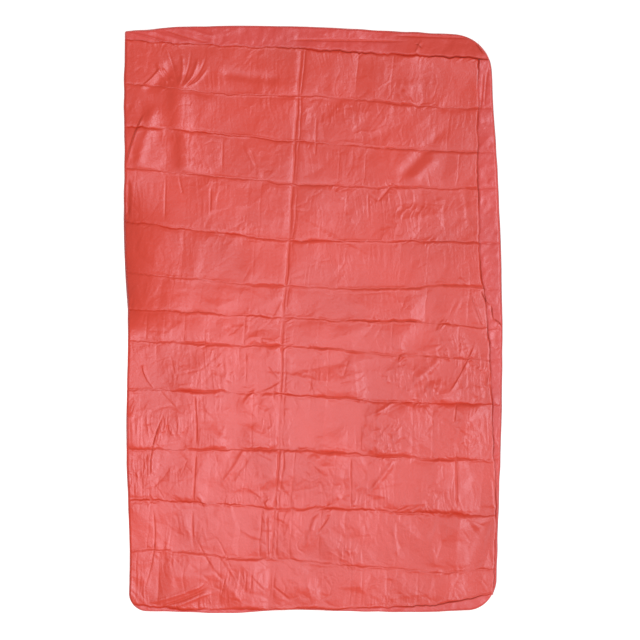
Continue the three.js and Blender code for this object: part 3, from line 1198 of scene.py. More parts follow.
def taffeta_group() -> bpy.types.NodeTree:
    """Makes the group that gives woven taffeta its weave, its mottled colour and the shade painted into its
    creases.

    Returns:
        The group, whose pattern follows the flat cloth.
    """
    tree = bpy.data.node_groups.new("taffeta", "ShaderNodeTree")
    sockets = (
        ("Colour", "NodeSocketColor", "INPUT"),
        ("Painted Shade Colour", "NodeSocketColor", "INPUT"),
        ("Roughness", "NodeSocketFloat", "INPUT"),
        ("Threads", "NodeSocketFloat", "INPUT"),
        ("Colour", "NodeSocketColor", "OUTPUT"),
        ("Roughness", "NodeSocketFloat", "OUTPUT"),
        ("Height", "NodeSocketFloat", "OUTPUT"),
    )
    for name, kind, way in sockets:
        tree.interface.new_socket(name, in_out=way, socket_type=kind)
    n = Nodes(tree)
    given = n.add("NodeGroupInput").outputs
    flat = n.add("ShaderNodeUVMap", uv_map=UV_NAME).outputs[0]
    painted_shade_share = n.add("ShaderNodeAttribute", attribute_name=PAINTED_SHADE_ATTRIBUTE).outputs["Fac"]
    cloudy = n.noise(flat, CLOUD_SCALE, 4.0)
    mottle = n.noise(flat, MOTTLE_SCALE, 3.0, 0.7)
    fine = n.noise(flat, CRUSH_SCALE, 5.0, 0.6)
    crush = n.sum("SUBTRACT", 0.3, n.sum("ABSOLUTE", n.sum("SUBTRACT", fine, 0.5), 0.0))
    quarter = {"Vector": flat, "Angle": math.pi / 2}
    turned = n.add("ShaderNodeVectorRotate", quarter, rotation_type="Z_AXIS").outputs[0]
    weave = []
    for way in (flat, turned):
        values = {"Vector": way, "Scale": given["Threads"], "Distortion": 0.6}
        weave.append(n.add("ShaderNodeTexWave", values).outputs["Fac"])
    threads = n.sum("MULTIPLY", weave[0], weave[1])
    spots = n.sum("ADD", n.sum("MULTIPLY", cloudy, 0.26), n.sum("MULTIPLY", mottle, 0.2))
    light = n.sum("ADD", n.sum("ADD", spots, n.sum("MULTIPLY", threads, 0.05)), 0.75)
    # The painted shade share mixes in the painted crease shade colour.
    dark = n.spread(painted_shade_share, 0.05, 1.0, 0.85)
    # Past 1, the painted shade share paints the dark shadow of a cord's fold line.
    slit = n.spread(painted_shade_share, 1.0, 2.0, 0.8)
    tinted = n.mix(given["Colour"], light, 1.0, "MULTIPLY")
    shaded = n.mix(n.mix(tinted, given["Painted Shade Colour"], dark), SLIT_SHADOW_COLOUR, slit)
    rough = n.sum("ADD", given["Roughness"], n.sum("MULTIPLY", n.sum("SUBTRACT", mottle, 0.5), 0.12))
    rough = n.sum("ADD", rough, n.sum("MULTIPLY", dark, 0.2))
    rough = n.sum("ADD", rough, n.sum("MULTIPLY", slit, 0.5))
    height = n.sum("ADD", n.sum("MULTIPLY", threads, 0.06), n.sum("MULTIPLY", crush, 0.8))
    height = n.sum("ADD", height, n.sum("MULTIPLY", mottle, 0.2))
    n.add("NodeGroupOutput", {0: shaded, 1: rough, 2: height})
    return tree


@dataclass(frozen=True)
class Taffeta:
    """A coated nylon cloth.

    Attributes:
        name: The material's name.
        colour: Its own colour, outside the painted crease shade.
        crease: The painted shade colour that it takes in a crease.
        roughness: Middle of its gloss.
        bump: Depth of its fine crush, in metres.
        threads: How many waves of threads the flat pattern holds.
        gloss: Strength of its sheen.
        tint: Colour of its sheen.
    """

    name: str
    colour: tuple[float, float, float, float]
    crease: tuple[float, float, float, float]
    roughness: float = 0.4
    bump: float = 0.003
    threads: float = 260.0
    gloss: float = 0.8
    tint: tuple[float, float, float, float] = (0.8, 0.84, 1, 1)

    def build(self) -> bpy.types.Material:
        """Makes the material.

        Returns:
            The material.
        """
        material = bpy.data.materials.new(self.name)
        material.use_nodes = True
        n = Nodes(material.node_tree)
        shader = material.node_tree.nodes["Principled BSDF"]
        group = n.add("ShaderNodeGroup", node_tree=bpy.data.node_groups["taffeta"])
        group.inputs["Colour"].default_value = self.colour
        group.inputs["Painted Shade Colour"].default_value = self.crease
        group.inputs["Roughness"].default_value = self.roughness
        group.inputs["Threads"].default_value = self.threads
        billow = n.add("ShaderNodeAttribute", attribute_name=BILLOW).outputs["Fac"]
        swell = n.add("ShaderNodeBump", {"Height": billow, "Distance": 1.0, "Strength": 1.0}).outputs[0]
        bump = n.add(
            "ShaderNodeBump",
            {"Height": group.outputs["Height"], "Distance": self.bump, "Strength": 0.6, "Normal": swell},
        )
        shader.inputs["Specular IOR Level"].default_value = self.gloss
        shader.inputs["Specular Tint"].default_value = self.tint
        n.tree.links.new(group.outputs["Colour"], shader.inputs["Base Color"])
        n.tree.links.new(group.outputs["Roughness"], shader.inputs["Roughness"])
        n.tree.links.new(bump.outputs[0], shader.inputs["Normal"])
        return material


@dataclass(frozen=True)
class Fibre:
    """Matt fibre, such as thread or loose batting.

    Attributes:
        name: The material's name.
        light: Its colour on top.
        dark: Its colour between the fibres.
        scale: How fine the fibres are.
        bump: Depth between the fibres, in metres.
        roughness: How matt it is.
    """

    name: str
    light: tuple[float, float, float, float]
    dark: tuple[float, float, float, float]
    scale: float
    bump: float = 0.0004
    roughness: float = 0.8

    def build(self) -> bpy.types.Material:
        """Makes the material.

        Returns:
            The material.
        """
        material = bpy.data.materials.new(self.name)
        material.use_nodes = True
        n = Nodes(material.node_tree)
        shader = material.node_tree.nodes["Principled BSDF"]
        place = n.add("ShaderNodeTexCoord").outputs["Object"]
        fibres = n.noise(place, self.scale, 4.0)
        colour = n.mix(self.dark, self.light, fibres)
        bump = n.add("ShaderNodeBump", {"Height": fibres, "Distance": self.bump, "Strength": 0.7}).outputs[0]
        n.tree.links.new(colour, shader.inputs["Base Color"])
        n.tree.links.new(bump, shader.inputs["Normal"])
        shader.inputs["Roughness"].default_value = self.roughness
        return material


# ---- The quilt ---------------------------------------------------------------------------------------


@dataclass(frozen=True)
class Stretch:
    """A length of the quilt that crosses one fold.

    Attributes:
        name: What its pieces are called after.
        first: The channel that it starts with, from the head.
        last: The channel after its last.
        joint: The hinge that it crosses; not used.
        foot_body: The body on the foot side of the hinge; not used.
        head_body: The body on its head side; not used.
        reach: How far each side of the hinge the cloth would bend; not used.
        nodes: The sections of the frame that its panels stand for.
    """

    name: str
    first: int
    last: int
    joint: str
    foot_body: str
    head_body: str
    reach: float
    nodes: tuple[str, ...]


STRETCHES = (
    Stretch("head", 0, 4, "head_fold", "upper_middle", "head_section", 14, ("head", "upper_middle")),
    Stretch("middle", 4, 8, "middle_fold", "lower_middle", "upper_middle", 26, ("lower_middle",)),
    Stretch("foot", 8, 12, "foot_fold", "foot_section", "lower_middle", 14, ("foot",)),
)


class Quilt:
    """The whole quilt: its panels, bands, pads and stitching.

    The capital names are spacings, offsets and margins in millimetres, and counts of grid lines.
    """

    ROUNDS = 3
    MEETING_ROUNDS = 20
    PITCH = 2.4
    PAINTED_SHADE_ROWS = (5, 6, 7)
    FACE_COLUMNS = 530
    LEFT_CLEAR = 8
    BAND_PITCH = 3.1
    BAND_COLUMNS = 20
    BAND_POINTS = 400
    BAND_LINES = {"head": 30, "foot": 18}
    BAND_TILT = 0.15
    BAND_DIP = 2.2
    BAND_MIDDLE = 60.0
    END_LINES = 14
    PANEL_CHANNELS = 2
    CREASE_SHARE = 0.42
    BUNCHING = 0.3
    BACK_PITCH = 3.6
    BACK_COLUMNS = 260
    BACK_MARGIN = 1.6
    BACK_SHADE_FULL = -1.5
    PAD_STEP = 5
    PAD_LINE_STEP = 2
    PAD_GAP = 0.25
    PAD_LOWERED = 0.7
    PAD_MARGIN = 8
    PAD_FILL = 0.5
    STITCH_LIFT = 0.25
    STITCH_INSET = 4.0
    FAR_INSIDE = 40

    def __init__(self, plan: Plan, relief: Relief) -> None:
        """Keeps the plan and the relief, and makes the finishes.

        Args:
            plan: Where edges, rows and seams lie.
            relief: Heights of the laid cloth.
        """
        self.plan = plan
        self.relief = relief
        taffeta_group()
        # The second colour of each taffeta is the painted shade colour for its creases.
        self.face = Taffeta("face_taffeta", (0.635, 0.045, 0.018, 1), (0.60, 0.038, 0.006, 1)).build()
        self.band = Taffeta("band_taffeta", (0.65, 0.054, 0.036, 1), (0.62, 0.038, 0.006, 1)).build()
        self.back = Taffeta("back_taffeta", (0.36, 0.16, 0.17, 1), (0.16, 0.06, 0.07, 1), 0.46).build()
        self.fill = Fibre("batting", (0.9, 0.88, 0.85, 1), (0.62, 0.6, 0.57, 1), 240.0).build()
        self.thread = Fibre("thread", (0.52, 0.05, 0.04, 1), (0.3, 0.02, 0.015, 1), 1400.0).build()

    # -- Baking pieces in place

    def bend(self, piece: bpy.types.Object) -> None:
        """Bakes a piece's placement into its mesh.

        Args:
            piece: The piece.
        """
        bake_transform(piece)

    # -- Face

    def shares(self, channel: int, pitch: float, last: bool) -> np.ndarray:
        """Shares of a channel's depth from its head row, closer together beside its rows.

        Args:
            channel: The channel.
            pitch: Mean spacing.
            last: Whether the channel's foot row is included.

        Returns:
            The shares, 0 first.
        """
        depth = self.plan.rows[channel] - self.plan.rows[channel + 1]
        t = np.linspace(0, 1, max(8, round(depth / pitch)) + 1)
        shares = t - self.BUNCHING * np.sin(2 * np.pi * t) / (2 * np.pi)
        return shares if last else shares[:-1]

    def face_line(self, channel: int, share: float) -> tuple[np.ndarray, np.ndarray]:
        """A line of face points across the quilt.

        Args:
            channel: The channel that it runs in.
            share: Its share of the channel's depth from the head row.

        Returns:
            Places across and along.
        """
        plan, u, at = self.plan, np.linspace(0, 1, self.FACE_COLUMNS), self.CREASE_SHARE
        y = np.full(self.FACE_COLUMNS, (1 - share) * plan.rows[channel] + share * plan.rows[channel + 1])
        for _ in range(self.ROUNDS):
            left, crease, seam = plan.left_edge(y), plan.long_crease(y), plan.side_seam(y)
            before = left + (crease - left) * u / at
            x = np.where(u < at, before, crease + (seam - crease) * (u - at) / (1 - at))
            y = (1 - share) * plan.row(channel, x) + share * plan.row(channel + 1, x)
        return x, y

    def face_grid(self, first: int, last: int) -> Grid:
        """The face over some channels, from foot to head.

        Args:
            first: The first channel.
            last: The channel after the last.

        Returns:
            The grid, with the rows between channels only once.
        """
        lines = []
        for channel in range(first, last):
            for share in self.shares(channel, self.PITCH, channel == last - 1):
                x, y = self.face_line(channel, share)
                lines.append((x, y, self.relief.channel(channel, np.full_like(x, share), x, y)))
        x, y, z = (np.array(values)[::-1] for values in zip(*lines))
        return Grid(x, y, z)

    def build_face(self) -> None:
        """The face panel, in pieces of two channels, which share their points where they meet."""
        self.faces = {}
        for stretch in STRETCHES:
            grid = self.face_grid(stretch.first, stretch.last)
            self.faces[stretch.name] = grid
            whole = grid.skirted(left=True)
            # Painted shade in the creases, kept clear of the left edge.
            painted_shade = grid.painted_shade() * rise(grid.x - grid.x[:, :1] - self.LEFT_CLEAR, self.LEFT_CLEAR)
            painted_shade = np.pad(painted_shade, ((0, 0), (1, 0)))
            slits = SLIT_SHADE * self.relief.slits(whole.x, whole.y)
            # Adds painted shade beside the middle rows and painted shadow along the cord lines.
            painted_shade = painted_shade + self.pressed(whole.x, whole.y) + slits
            stop = len(grid.x) - 1
            for first in range(stretch.first, stretch.last, self.PANEL_CHANNELS):
                held = range(first, first + self.PANEL_CHANNELS)
                lines = sum(len(self.shares(channel, self.PITCH, False)) for channel in held)
                part = slice(stop - lines, stop + 1)
                stop -= lines
                number = first // self.PANEL_CHANNELS + 1
                panel = Grid(whole.x[part], whole.y[part], whole.z[part])
                billow = self.relief.billow(panel.x, panel.y)
                piece = sheet_object(f"face_cloth_{number}", panel, self.face, painted_shade[part], billow=billow)
                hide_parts(*(f"face_panel_{node}" for node in stretch.nodes))
                self.bend(piece)
                self.declare(piece, panel, ["back_cloth_" + stretch.name])
                log.info("%s: %d faces, %.1f mm high", piece.name, len(piece.data.polygons), panel.z.max())

    def pressed(self, x: np.ndarray, y: np.ndarray) -> np.ndarray:
        """Painted shade beside the rows of the middle fold, right of the long crease.

        Args:
            x: Places across the quilt.
            y: Places along the quilt.

        Returns:
            The painted shade at each point.
        """
        total = np.zeros_like(x)
        for number in self.PAINTED_SHADE_ROWS:
            total += np.exp(-np.abs(y - self.plan.row(number, x) + 1) / 3.4)
        return 0.8 * total * rise(x + 20, 60) * rise(560 - x, 120)

    @staticmethod
    def declare(piece: bpy.types.Object, grid: Grid, rests_on: list[str]) -> None:
        """Works out the size that a laid sheet has when its wrinkles are drawn flat, and keeps nothing of it.

        Args:
            piece: The sheet; not used.
            grid: Its points.
            rests_on: The pieces under it; not used.
        """
        points = np.stack([grid.x, grid.y, grid.z])
        steps = {way: np.linalg.norm(np.diff(points, axis=way), axis=0) for way in (2, 1)}
        width, length = (float(step.sum(way - 1).mean()) * MM for way, step in steps.items())

    # -- Back

    def build_back(self) -> None:
        """The back panel, in one stretch for each fold, with its ends out to the outline."""
        plan, relief = self.plan, self.relief
        u = np.linspace(0, 1, self.BACK_COLUMNS)
        for stretch in STRETCHES:
            xs, ys, rows = [], [], []
            for channel in range(stretch.first, stretch.last):
                depth = plan.rows[channel] - plan.rows[channel + 1]
                for share in self.shares(channel, self.BACK_PITCH, channel == stretch.last - 1):
                    y = np.full(len(u), (1 - share) * plan.rows[channel] + share * plan.rows[channel + 1])
                    for _ in range(self.ROUNDS):
                        x = plan.left_edge(y) * (1 - u) + plan.right_edge(y) * u
                        y = (1 - share) * plan.row(channel, x) + share * plan.row(channel + 1, x)
                    xs.append(x)
                    ys.append(y)
                    rows.append(np.full(len(u), min(share, 1 - share) * depth))
            x, y, to_row = (np.array(values)[::-1] for values in (xs, ys, rows))
            if stretch.first == 0:
                x, y, to_row = self.with_end(x, y, to_row, "head")
            if stretch.last == len(plan.rows) - 1:
                x, y, to_row = self.with_end(x, y, to_row, "foot")
            edge = np.minimum(x - x[:, :1], x[:, -1:] - x)
            grid = Grid(x, y, relief.back(to_row, edge, x, y))
            grid.x[:, -1] += self.BACK_MARGIN
            # Painted shade on the back's raised lines, which are hollows when seen from beneath.
            back_painted_shade = grid.painted_shade(self.BACK_SHADE_FULL)
            piece = sheet_object(f"back_cloth_{stretch.name}", grid, self.back, back_painted_shade, face_up=False)
            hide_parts(*(f"back_panel_{node}" for node in stretch.nodes))
            self.bend(piece)
            self.declare(piece, grid, [])
            log.info("%s: %d faces", piece.name, len(piece.data.polygons))

    def with_end(
        self, x: np.ndarray, y: np.ndarray, to_row: np.ndarray, end: str
    ) -> tuple[np.ndarray, np.ndarray, np.ndarray]:
        """Adds the strip between the last row and the outline at one end of the back panel.

        Args:
            x: Places across, foot first.
            y: Places along.
            to_row: Distances from the nearest row.
            end: The head or the foot.

        Returns:
            The three grids, made longer.
        """
        at = -1 if end == "head" else 0
        inner = np.stack([x[at], y[at]], -1)
        outer = self.end_outline(end, inner)
        shares = np.linspace(0, 1, self.END_LINES)[1:]
        more_x, more_y = ruled(inner, outer, shares)
        more_row = np.hypot(more_x - x[at], more_y - y[at])
        if end == "head":
            return tuple(np.concatenate(pair) for pair in ((x, more_x), (y, more_y), (to_row, more_row)))
        flipped = (more_x[::-1], more_y[::-1], more_row[::-1])
        return tuple(np.concatenate(pair) for pair in zip(flipped, (x, y, to_row)))

    def end_outline(self, end: str, inner: np.ndarray) -> np.ndarray:
        """Points of the outline beyond a row, evenly spread between where the row meets it at each side.

        Args:
            end: The head or the foot.
            inner: Points along the end's row.

        Returns:
            As many points on the outline.
        """
        run = self.plan.outline[end]
        sign = 1 if end == "head" else -1
        beyond = run[(run[:, 1] - np.interp(run[:, 0], inner[:, 0], inner[:, 1])) * sign > 0]
        return by_length(np.concatenate([inner[:1], beyond, inner[-1:]]), len(inner))

    # -- Bands

    def build_side_band(self) -> None:
        """The turned band along the right side, in one stretch for each fold."""
        plan, relief = self.plan, self.relief
        for stretch in STRETCHES:
            high = float(plan.row(stretch.first, np.array([plan.right - self.BAND_MIDDLE]))[0])
            low = float(plan.row(stretch.last, np.array([plan.right - self.BAND_MIDDLE]))[0])
            y = np.linspace(low, high, round((high - low) / self.BAND_PITCH))
            seam = np.stack([plan.side_seam(y), y], -1)
            edge = np.stack([plan.right_edge(y), y], -1)
            x, yy = ruled(seam, edge, np.linspace(0, 1, self.BAND_COLUMNS))
            inside, outside = x - seam[None, :, 0], edge[None, :, 0] - x
            z = relief.turned_edge(inside, outside, x, yy)
            for number in range(stretch.first, stretch.last + 1):
                z = z - self.BAND_DIP * np.exp(-np.abs(yy - plan.row(number, x)) / 4) * rise(outside, 10)
            grid = Grid(x.T, yy.T, np.maximum(z, SKIRT_HEIGHT).T).skirted(right=True)
            # Painted shade beside the seam, added to the painted shade in creases and the painted shadow
            # along cord lines.
            shade = relief.seam_shade(np.abs(grid.x - plan.side_seam(grid.y)), grid.y)
            painted_shade = grid.painted_shade() + shade + SLIT_SHADE * relief.slits(grid.x, grid.y)
            piece = sheet_object(f"side_band_cloth_{stretch.name}", grid, self.band, painted_shade)
            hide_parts(*(f"side_band_{node}" for node in stretch.nodes))
            self.bend(piece)
            self.declare(piece, grid, ["back_cloth_" + stretch.name])

    def build_end_bands(self) -> None:
        """The turned bands along the head and the foot."""
        plan = self.plan
        for end, number in (("head", 0), ("foot", len(plan.rows) - 1)):
            right = self.meeting(number)
            x = np.linspace(float(plan.left_edge(np.array([plan.rows[number]]))[0]), right, self.BAND_POINTS)
            x[0] = float(plan.left_edge(plan.row(number, x[:1]))[0])
            inner = np.stack([x, plan.row(number, x)], -1)
            outer = self.end_outline(end, inner)
            gx, gy = ruled(inner, outer, np.linspace(0, 1, self.BAND_LINES[end]))
            inside = np.hypot(gx - inner[None, :, 0], gy - inner[None, :, 1])
            outside = np.hypot(gx - outer[None, :, 0], gy - outer[None, :, 1])
            sides = np.minimum(gx - gx[:, :1], gx[:, -1:] - gx)
            z = self.relief.turned_edge(inside, np.minimum(outside, sides), gx, gy)
            grid = Grid(gx, gy, z).skirted(head=True)
            if end == "foot":
                grid = Grid(grid.x[::-1], grid.y[::-1], grid.z[::-1])
            away = np.abs(grid.y - plan.row(number, grid.x))
            # Painted shadow along cord lines and painted shade beside the band's seam.
            painted_shade = SLIT_SHADE * self.relief.slits(grid.x, grid.y) + self.relief.seam_shade(away, grid.x)
            if end == "head":
                # Painted shade over the right part of the head band; the same mask also tilts the light there
                # by bump.
                deep = rise(grid.x - 140, 240)
                painted_shade = painted_shade + np.maximum(grid.painted_shade(), 0.6 * deep)
            else:
                deep = np.zeros_like(away)
                # Painted shadow along the right part of the foot band's seam.
                seam_shadow_part = rise(grid.x - 290, 50) * rise(590 - grid.x, 40)
                painted_shade = painted_shade + grid.painted_shade() + 2.2 * np.exp(-away / 2.4) * seam_shadow_part
            turned = self.BAND_TILT * deep * away
            piece = sheet_object(f"{end}_band_cloth", grid, self.band, painted_shade, billow=-turned)
            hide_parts(f"{end}_band")
            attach(piece, f"{end}_section")
            self.declare(piece, grid, ["back_cloth_" + end])

    def meeting(self, number: int) -> float:
        """Where a row meets the right edge.

        Args:
            number: The row, 0 at the head band.

        Returns:
            The place across the quilt.
        """
        plan = self.plan
        x = plan.right
        for _ in range(self.MEETING_ROUNDS):
            x = 0.5 * x + 0.5 * float(plan.right_edge(plan.row(number, np.array([x])))[0])
        return x

    # -- Fill

    def build_pads(self) -> None:
        """One pad of batting in each channel, between the face and the back."""
        for stretch in STRETCHES:
            grid = self.faces[stretch.name]
            start = len(grid.x) - 1
            for channel in range(stretch.first, stretch.last):
                count = len(self.shares(channel, self.PITCH, False))
                lines = slice(start - count, start + 1)
                start -= count
                self.build_pad(channel, Grid(grid.x[lines], grid.y[lines], grid.z[lines]))

    def build_pad(self, channel: int, face: Grid) -> None:
        """One pad, which stays below the lowest cloth around each of its points.

        Args:
            channel: The channel that it fills.
            face: The face over that channel.
        """
        reach = self.PAD_STEP
        padded = np.pad(face.z, reach, mode="edge")
        windows = np.lib.stride_tricks.sliding_window_view(padded, (2 * reach + 1, 2 * reach + 1))
        lowest = windows.min(axis=(2, 3))
        rows = np.arange(2, len(face.x) - 2, self.PAD_LINE_STEP)
        across = face.x.shape[1]
        columns = np.linspace(self.PAD_MARGIN, across - self.PAD_MARGIN, across // reach).astype(int)
        columns = np.unique(columns)
        pick = np.ix_(rows, columns)
        x, y = face.x[pick], face.y[pick]
        bottom = np.full_like(x, self.relief.valley - 2 * self.PAD_GAP)
        top = np.maximum(lowest[pick] - self.PAD_LOWERED, bottom + self.PAD_GAP)
        for edge in (np.s_[0], np.s_[-1], np.s_[:, 0], np.s_[:, -1]):
            top[edge] = bottom[edge] + self.PAD_GAP / 2
        piece = closed_pad(f"batting_{channel + 1:02d}", x, y, top, bottom, self.fill)
        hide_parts(f"fill_pad_{channel + 1:02d}")
        self.bend(piece)

    # -- Stitching

    def build_stitching(self) -> None:
        """Every sewn line, as separate stitches."""
        tree = stitch_tree(self.thread)
        plan = self.plan
        for stretch in STRETCHES:
            grid = self.faces[stretch.name]
            at = len(grid.x) - 1
            for channel in range(stretch.first, stretch.last):
                if channel > 0:
                    line = np.stack([grid.x[at], grid.y[at], grid.z[at] + self.STITCH_LIFT], -1)[4:-2]
                    row = f"row_{channel:02d}"
                    self.sew(f"stitches_{row}", line, tree, [f"quilting_{row}"], stretch)
                at -= len(self.shares(channel, self.PITCH, False))
            left = np.stack([grid.x[:, 2], grid.y[:, 2], grid.z[:, 2] + self.STITCH_LIFT], -1)
            nodes = [f"left_seam_{node}" for node in stretch.nodes]
            self.sew(f"stitches_left_{stretch.name}", left, tree, nodes, stretch)
            y = np.linspace(grid.y[0, 0], grid.y[-1, 0], len(grid.y))
            x = plan.side_seam(y) + self.STITCH_INSET
            side = self.on_band(x, y, np.minimum(plan.right_edge(y) - x, self.FAR_INSIDE))
            nodes = [f"side_seam_{node}" for node in stretch.nodes]
            self.sew(f"stitches_side_{stretch.name}", side, tree, nodes, stretch)
        for end, number, way in (("head", 0, 1), ("foot", len(plan.rows) - 1, -1)):
            x = np.linspace(plan.left + 20, plan.seam - 6, self.BAND_POINTS)
            y = plan.row(number, x) + way * self.STITCH_INSET
            line = self.on_band(x, y, np.full_like(x, self.FAR_INSIDE))
            self.sew(f"stitches_{end}_band", line, tree, [f"{end}_band_seam"], None, f"{end}_section")

    def on_band(self, x: np.ndarray, y: np.ndarray, outside: np.ndarray) -> np.ndarray:
        """Points of a line of stitches on a turned band, beside its seam.

        Args:
            x: Places across the quilt.
            y: Places along the quilt.
            outside: Distance from the quilt's outline.

        Returns:
            The points, one in each row.
        """
        inside = np.full_like(x, self.STITCH_INSET)
        z = self.relief.turned_edge(inside, outside, x, y) + self.STITCH_LIFT
        return np.stack([x, y, z], -1)

    def sew(
        self,
        name: str,
        line: np.ndarray,
        tree: bpy.types.NodeTree,
        nodes: list[str],
        stretch: Stretch | None,
        body: str = "",
    ) -> None:
        """Puts stitches along a line.

        Args:
            name: The piece's name.
            line: The line's points in millimetres.
            tree: The tree that makes stitches.
            nodes: The frame's nodes that it stands for.
            stretch: The stretch that it belongs to, or None.
            body: The body that it rides on when it has no stretch.
        """
        curve = bpy.data.curves.new(name + "_line", "CURVE")
        curve.dimensions = "3D"
        spline = curve.splines.new("POLY")
        spline.points.add(len(line) - 1)
        places = np.append(line * MM, np.ones((len(line), 1)), 1)
        spline.points.foreach_set("co", places.astype(np.float32).ravel())
        path = bpy.data.objects.new(name + "_line", curve)
        bpy.context.scene.collection.objects.link(path)
        modifier = path.modifiers.new("stitches", "NODES")
        modifier.node_group = tree
        for socket in tree.interface.items_tree:
            if socket.name in STITCH_SIZES:
                modifier[socket.identifier] = STITCH_SIZES[socket.name]
        evaluated = path.evaluated_get(bpy.context.evaluated_depsgraph_get())
        mesh = bpy.data.meshes.new_from_object(evaluated)
        mesh.name = name
        bpy.data.objects.remove(path)
        piece = bpy.data.objects.new(name, mesh)
        bpy.context.scene.collection.objects.link(piece)
        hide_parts(*nodes)
        if stretch is None:
            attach(piece, body)
        else:
            self.bend(piece)
        log.info("%s: %d faces", name, len(mesh.polygons))


def closed_pad(
    name: str, x: np.ndarray, y: np.ndarray, top: np.ndarray, bottom: np.ndarray, finish: bpy.types.Material
) -> bpy.types.Object:
    """Makes a closed pad between two heights.

    Args:
        name: The piece's name.
        x: Places across, foot first.
        y: Places along.
        top: Heights of its upper side.
        bottom: Heights of its lower side.
        finish: Its material.

    Returns:
        The new object.
    """
    rows, columns = x.shape
    upper = np.stack([x, y, top], -1).reshape(-1, 3)
    lower = np.stack([x, y, bottom], -1).reshape(-1, 3)
    index = np.arange(rows * columns).reshape(rows, columns)
    under = index + rows * columns
    a, b, c, d = index[:-1, :-1], index[:-1, 1:], index[1:, 1:], index[1:, :-1]
    quads = [np.stack((a, b, c, d), -1).reshape(-1, 4)]
    quads.append(np.stack((a, d, c, b), -1).reshape(-1, 4) + rows * columns)
    rings = (
        (under[0], index[0]),
        (index[-1], under[-1]),
        (index[:, 0], under[:, 0]),
        (under[:, -1], index[:, -1]),
    )
    for first, second in rings:
        quads.append(np.stack((first[:-1], first[1:], second[1:], second[:-1]), -1))
    points = np.concatenate([upper, lower]) * MM
    return mesh_object(name, points, np.concatenate(quads), finish, np.zeros(len(points)))


def stitch_tree(thread: bpy.types.Material) -> bpy.types.NodeTree:
    """The tree that lays stitches along a line.

    Args:
        thread: The stitches' material.

    Returns:
        The new tree.
    """
    tree = bpy.data.node_groups.new("stitches", "GeometryNodeTree")
    tree.interface.new_socket("Line", in_out="INPUT", socket_type="NodeSocketGeometry")
    for name, value in STITCH_SIZES.items():
        socket = tree.interface.new_socket(name, in_out="INPUT", socket_type="NodeSocketFloat")
        socket.default_value = value
    tree.interface.new_socket("Stitches", in_out="OUTPUT", socket_type="NodeSocketGeometry")
    n = Nodes(tree)
    given = n.add("NodeGroupInput").outputs
    evenly = {"Curve": given["Line"], "Length": given["Pitch"]}
    spaced = n.add("GeometryNodeResampleCurve", evenly, mode="LENGTH")
    size = n.add("ShaderNodeCombineXYZ", {0: given["Thickness"], 1: given["Thickness"], 2: given["Length"]})
    bead = n.add("GeometryNodeMeshUVSphere", {"Segments": 6, "Rings": 5, "Radius": 0.5})
    stitch = n.add("GeometryNodeTransform", {"Geometry": bead.outputs[0], "Scale": size.outputs[0]})
    tangent = n.add("GeometryNodeInputTangent")
    turn = n.add("FunctionNodeAlignRotationToVector", {"Vector": tangent.outputs[0]}, axis="Z")
    placed = n.add(
        "GeometryNodeInstanceOnPoints",
        {"Points": spaced.outputs[0], "Instance": stitch.outputs[0], "Rotation": turn.outputs[0]},
    )
    real = n.add("GeometryNodeRealizeInstances", {0: placed.outputs[0]})
    dressed = n.add("GeometryNodeSetMaterial", {"Geometry": real.outputs[0], "Material": thread})
    n.add("NodeGroupOutput", {0: dressed.outputs[0]})
    return tree


# ---- Stage -------------------------------------------------------------------------------------------


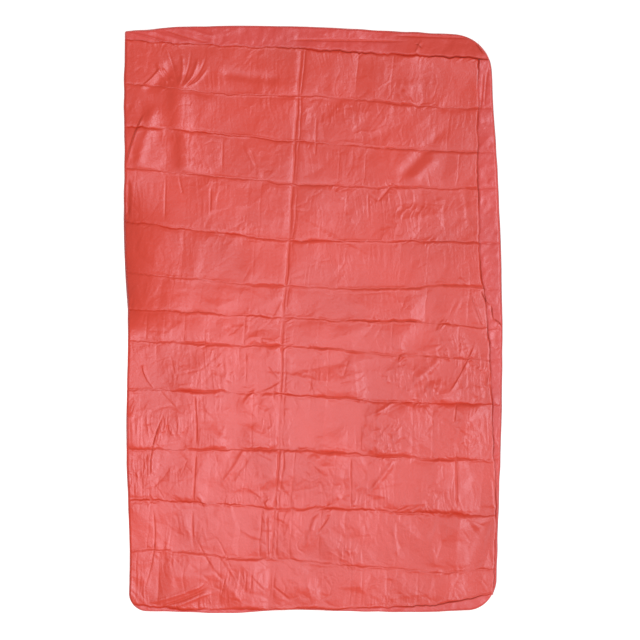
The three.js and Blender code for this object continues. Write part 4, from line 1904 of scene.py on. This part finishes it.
@dataclass(frozen=True)
class Studio:
    """A pale floor, soft light and a camera straight above.

    Attributes:
        view_width: Width of the ground that the camera sees.
        aim: What it looks at.
        lens: Its focal length in millimetres.
        sky: Strength of the even light.
        key_energy: Strength of the broad light.
        key_spread: How wide it looks from the quilt, in degrees.
        key_place: Where it comes from.
        softbox_size: Side of the softbox.
        softbox_energy: Its power in watts.
        softbox_place: Where it hangs.
        floor_half: Half the floor's side.
        floor_shade: The floor's lightness.
        floor_glow: How much it shines of its own, so that it stays pale.
    """

    view_width: float = 2.2016
    aim: tuple[float, float] = (0.0241, -0.0017)
    lens: float = 110.0
    sky: float = 0.37
    key_energy: float = 1.72
    key_spread: float = 18.0
    key_place: tuple[float, float, float] = (1.7, -0.2, 3.2)
    softbox_size: float = 1.1
    softbox_energy: float = 23.0
    softbox_place: tuple[float, float, float] = (-0.55, -0.6, 2.5)
    floor_half: float = 9.0
    floor_shade: float = 0.97
    floor_glow: float = 0.12

    SENSOR: ClassVar[float] = 36

    def build(self) -> None:
        """Sets up the whole stage."""
        self.build_camera()
        self.build_floor()
        self.build_lights()
        bpy.context.scene.view_settings.view_transform = "Standard"

    def build_camera(self) -> None:
        """The camera, looking straight down."""
        data = bpy.data.cameras.new("camera")
        data.lens = self.lens
        data.sensor_width = self.SENSOR
        camera = bpy.data.objects.new("camera", data)
        camera.location = (*self.aim, self.view_width * data.lens / data.sensor_width)
        bpy.context.scene.collection.objects.link(camera)
        bpy.context.scene.camera = camera

    def build_floor(self) -> None:
        """The pale floor."""
        half = self.floor_half
        corners = [(-half, -half, 0), (half, -half, 0), (half, half, 0), (-half, half, 0)]
        mesh = bpy.data.meshes.new("floor")
        mesh.from_pydata(corners, [], [(0, 1, 2, 3)])
        floor = bpy.data.objects.new("floor", mesh)
        bpy.context.scene.collection.objects.link(floor)
        paint = bpy.data.materials.new("floor")
        paint.use_nodes = True
        shader = paint.node_tree.nodes["Principled BSDF"]
        shader.inputs["Base Color"].default_value = (*[self.floor_shade] * 3, 1)
        shader.inputs["Emission Color"].default_value = (1, 1, 1, 1)
        shader.inputs["Emission Strength"].default_value = self.floor_glow
        shader.inputs["Roughness"].default_value = 0.9
        shader.inputs["Specular IOR Level"].default_value = 0.0
        mesh.materials.append(paint)
        floor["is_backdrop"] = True

    def build_lights(self) -> None:
        """Even light from all round, a broad light from the right and a softbox over the left of the foot."""
        world = bpy.data.worlds.new("world")
        bpy.context.scene.world = world
        world.use_nodes = True
        world.node_tree.nodes["Background"].inputs["Color"].default_value = (1, 1, 1, 1)
        world.node_tree.nodes["Background"].inputs["Strength"].default_value = self.sky
        key = bpy.data.lights.new("key", "SUN")
        key.angle = math.radians(self.key_spread)
        key.energy = self.key_energy
        self.hang(key, self.key_place)
        softbox = bpy.data.lights.new("softbox", "AREA")
        softbox.size = self.softbox_size
        softbox.energy = self.softbox_energy
        self.hang(softbox, self.softbox_place)

    @staticmethod
    def hang(light: bpy.types.Light, place: tuple[float, float, float]) -> None:
        """Hangs a light at a place, facing the middle of the quilt.

        Args:
            light: The light.
            place: Where it hangs.
        """
        lamp = bpy.data.objects.new(light.name, light)
        lamp.location = place
        lamp.rotation_mode = "QUATERNION"
        lamp.rotation_quaternion = (-Vector(place)).to_track_quat("-Z", "Y")
        bpy.context.scene.collection.objects.link(lamp)


def main() -> None:
    """Builds the quilt and its stage."""
    logging.basicConfig(level=logging.INFO, format="%(message)s")
    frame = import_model()
    plan = Plan(frame)
    Studio().build()
    quilt = Quilt(plan, Relief(plan))
    quilt.build_back()
    quilt.build_face()
    quilt.build_side_band()
    quilt.build_end_bands()
    quilt.build_pads()
    quilt.build_stitching()


if __name__ == "__main__":
    main()
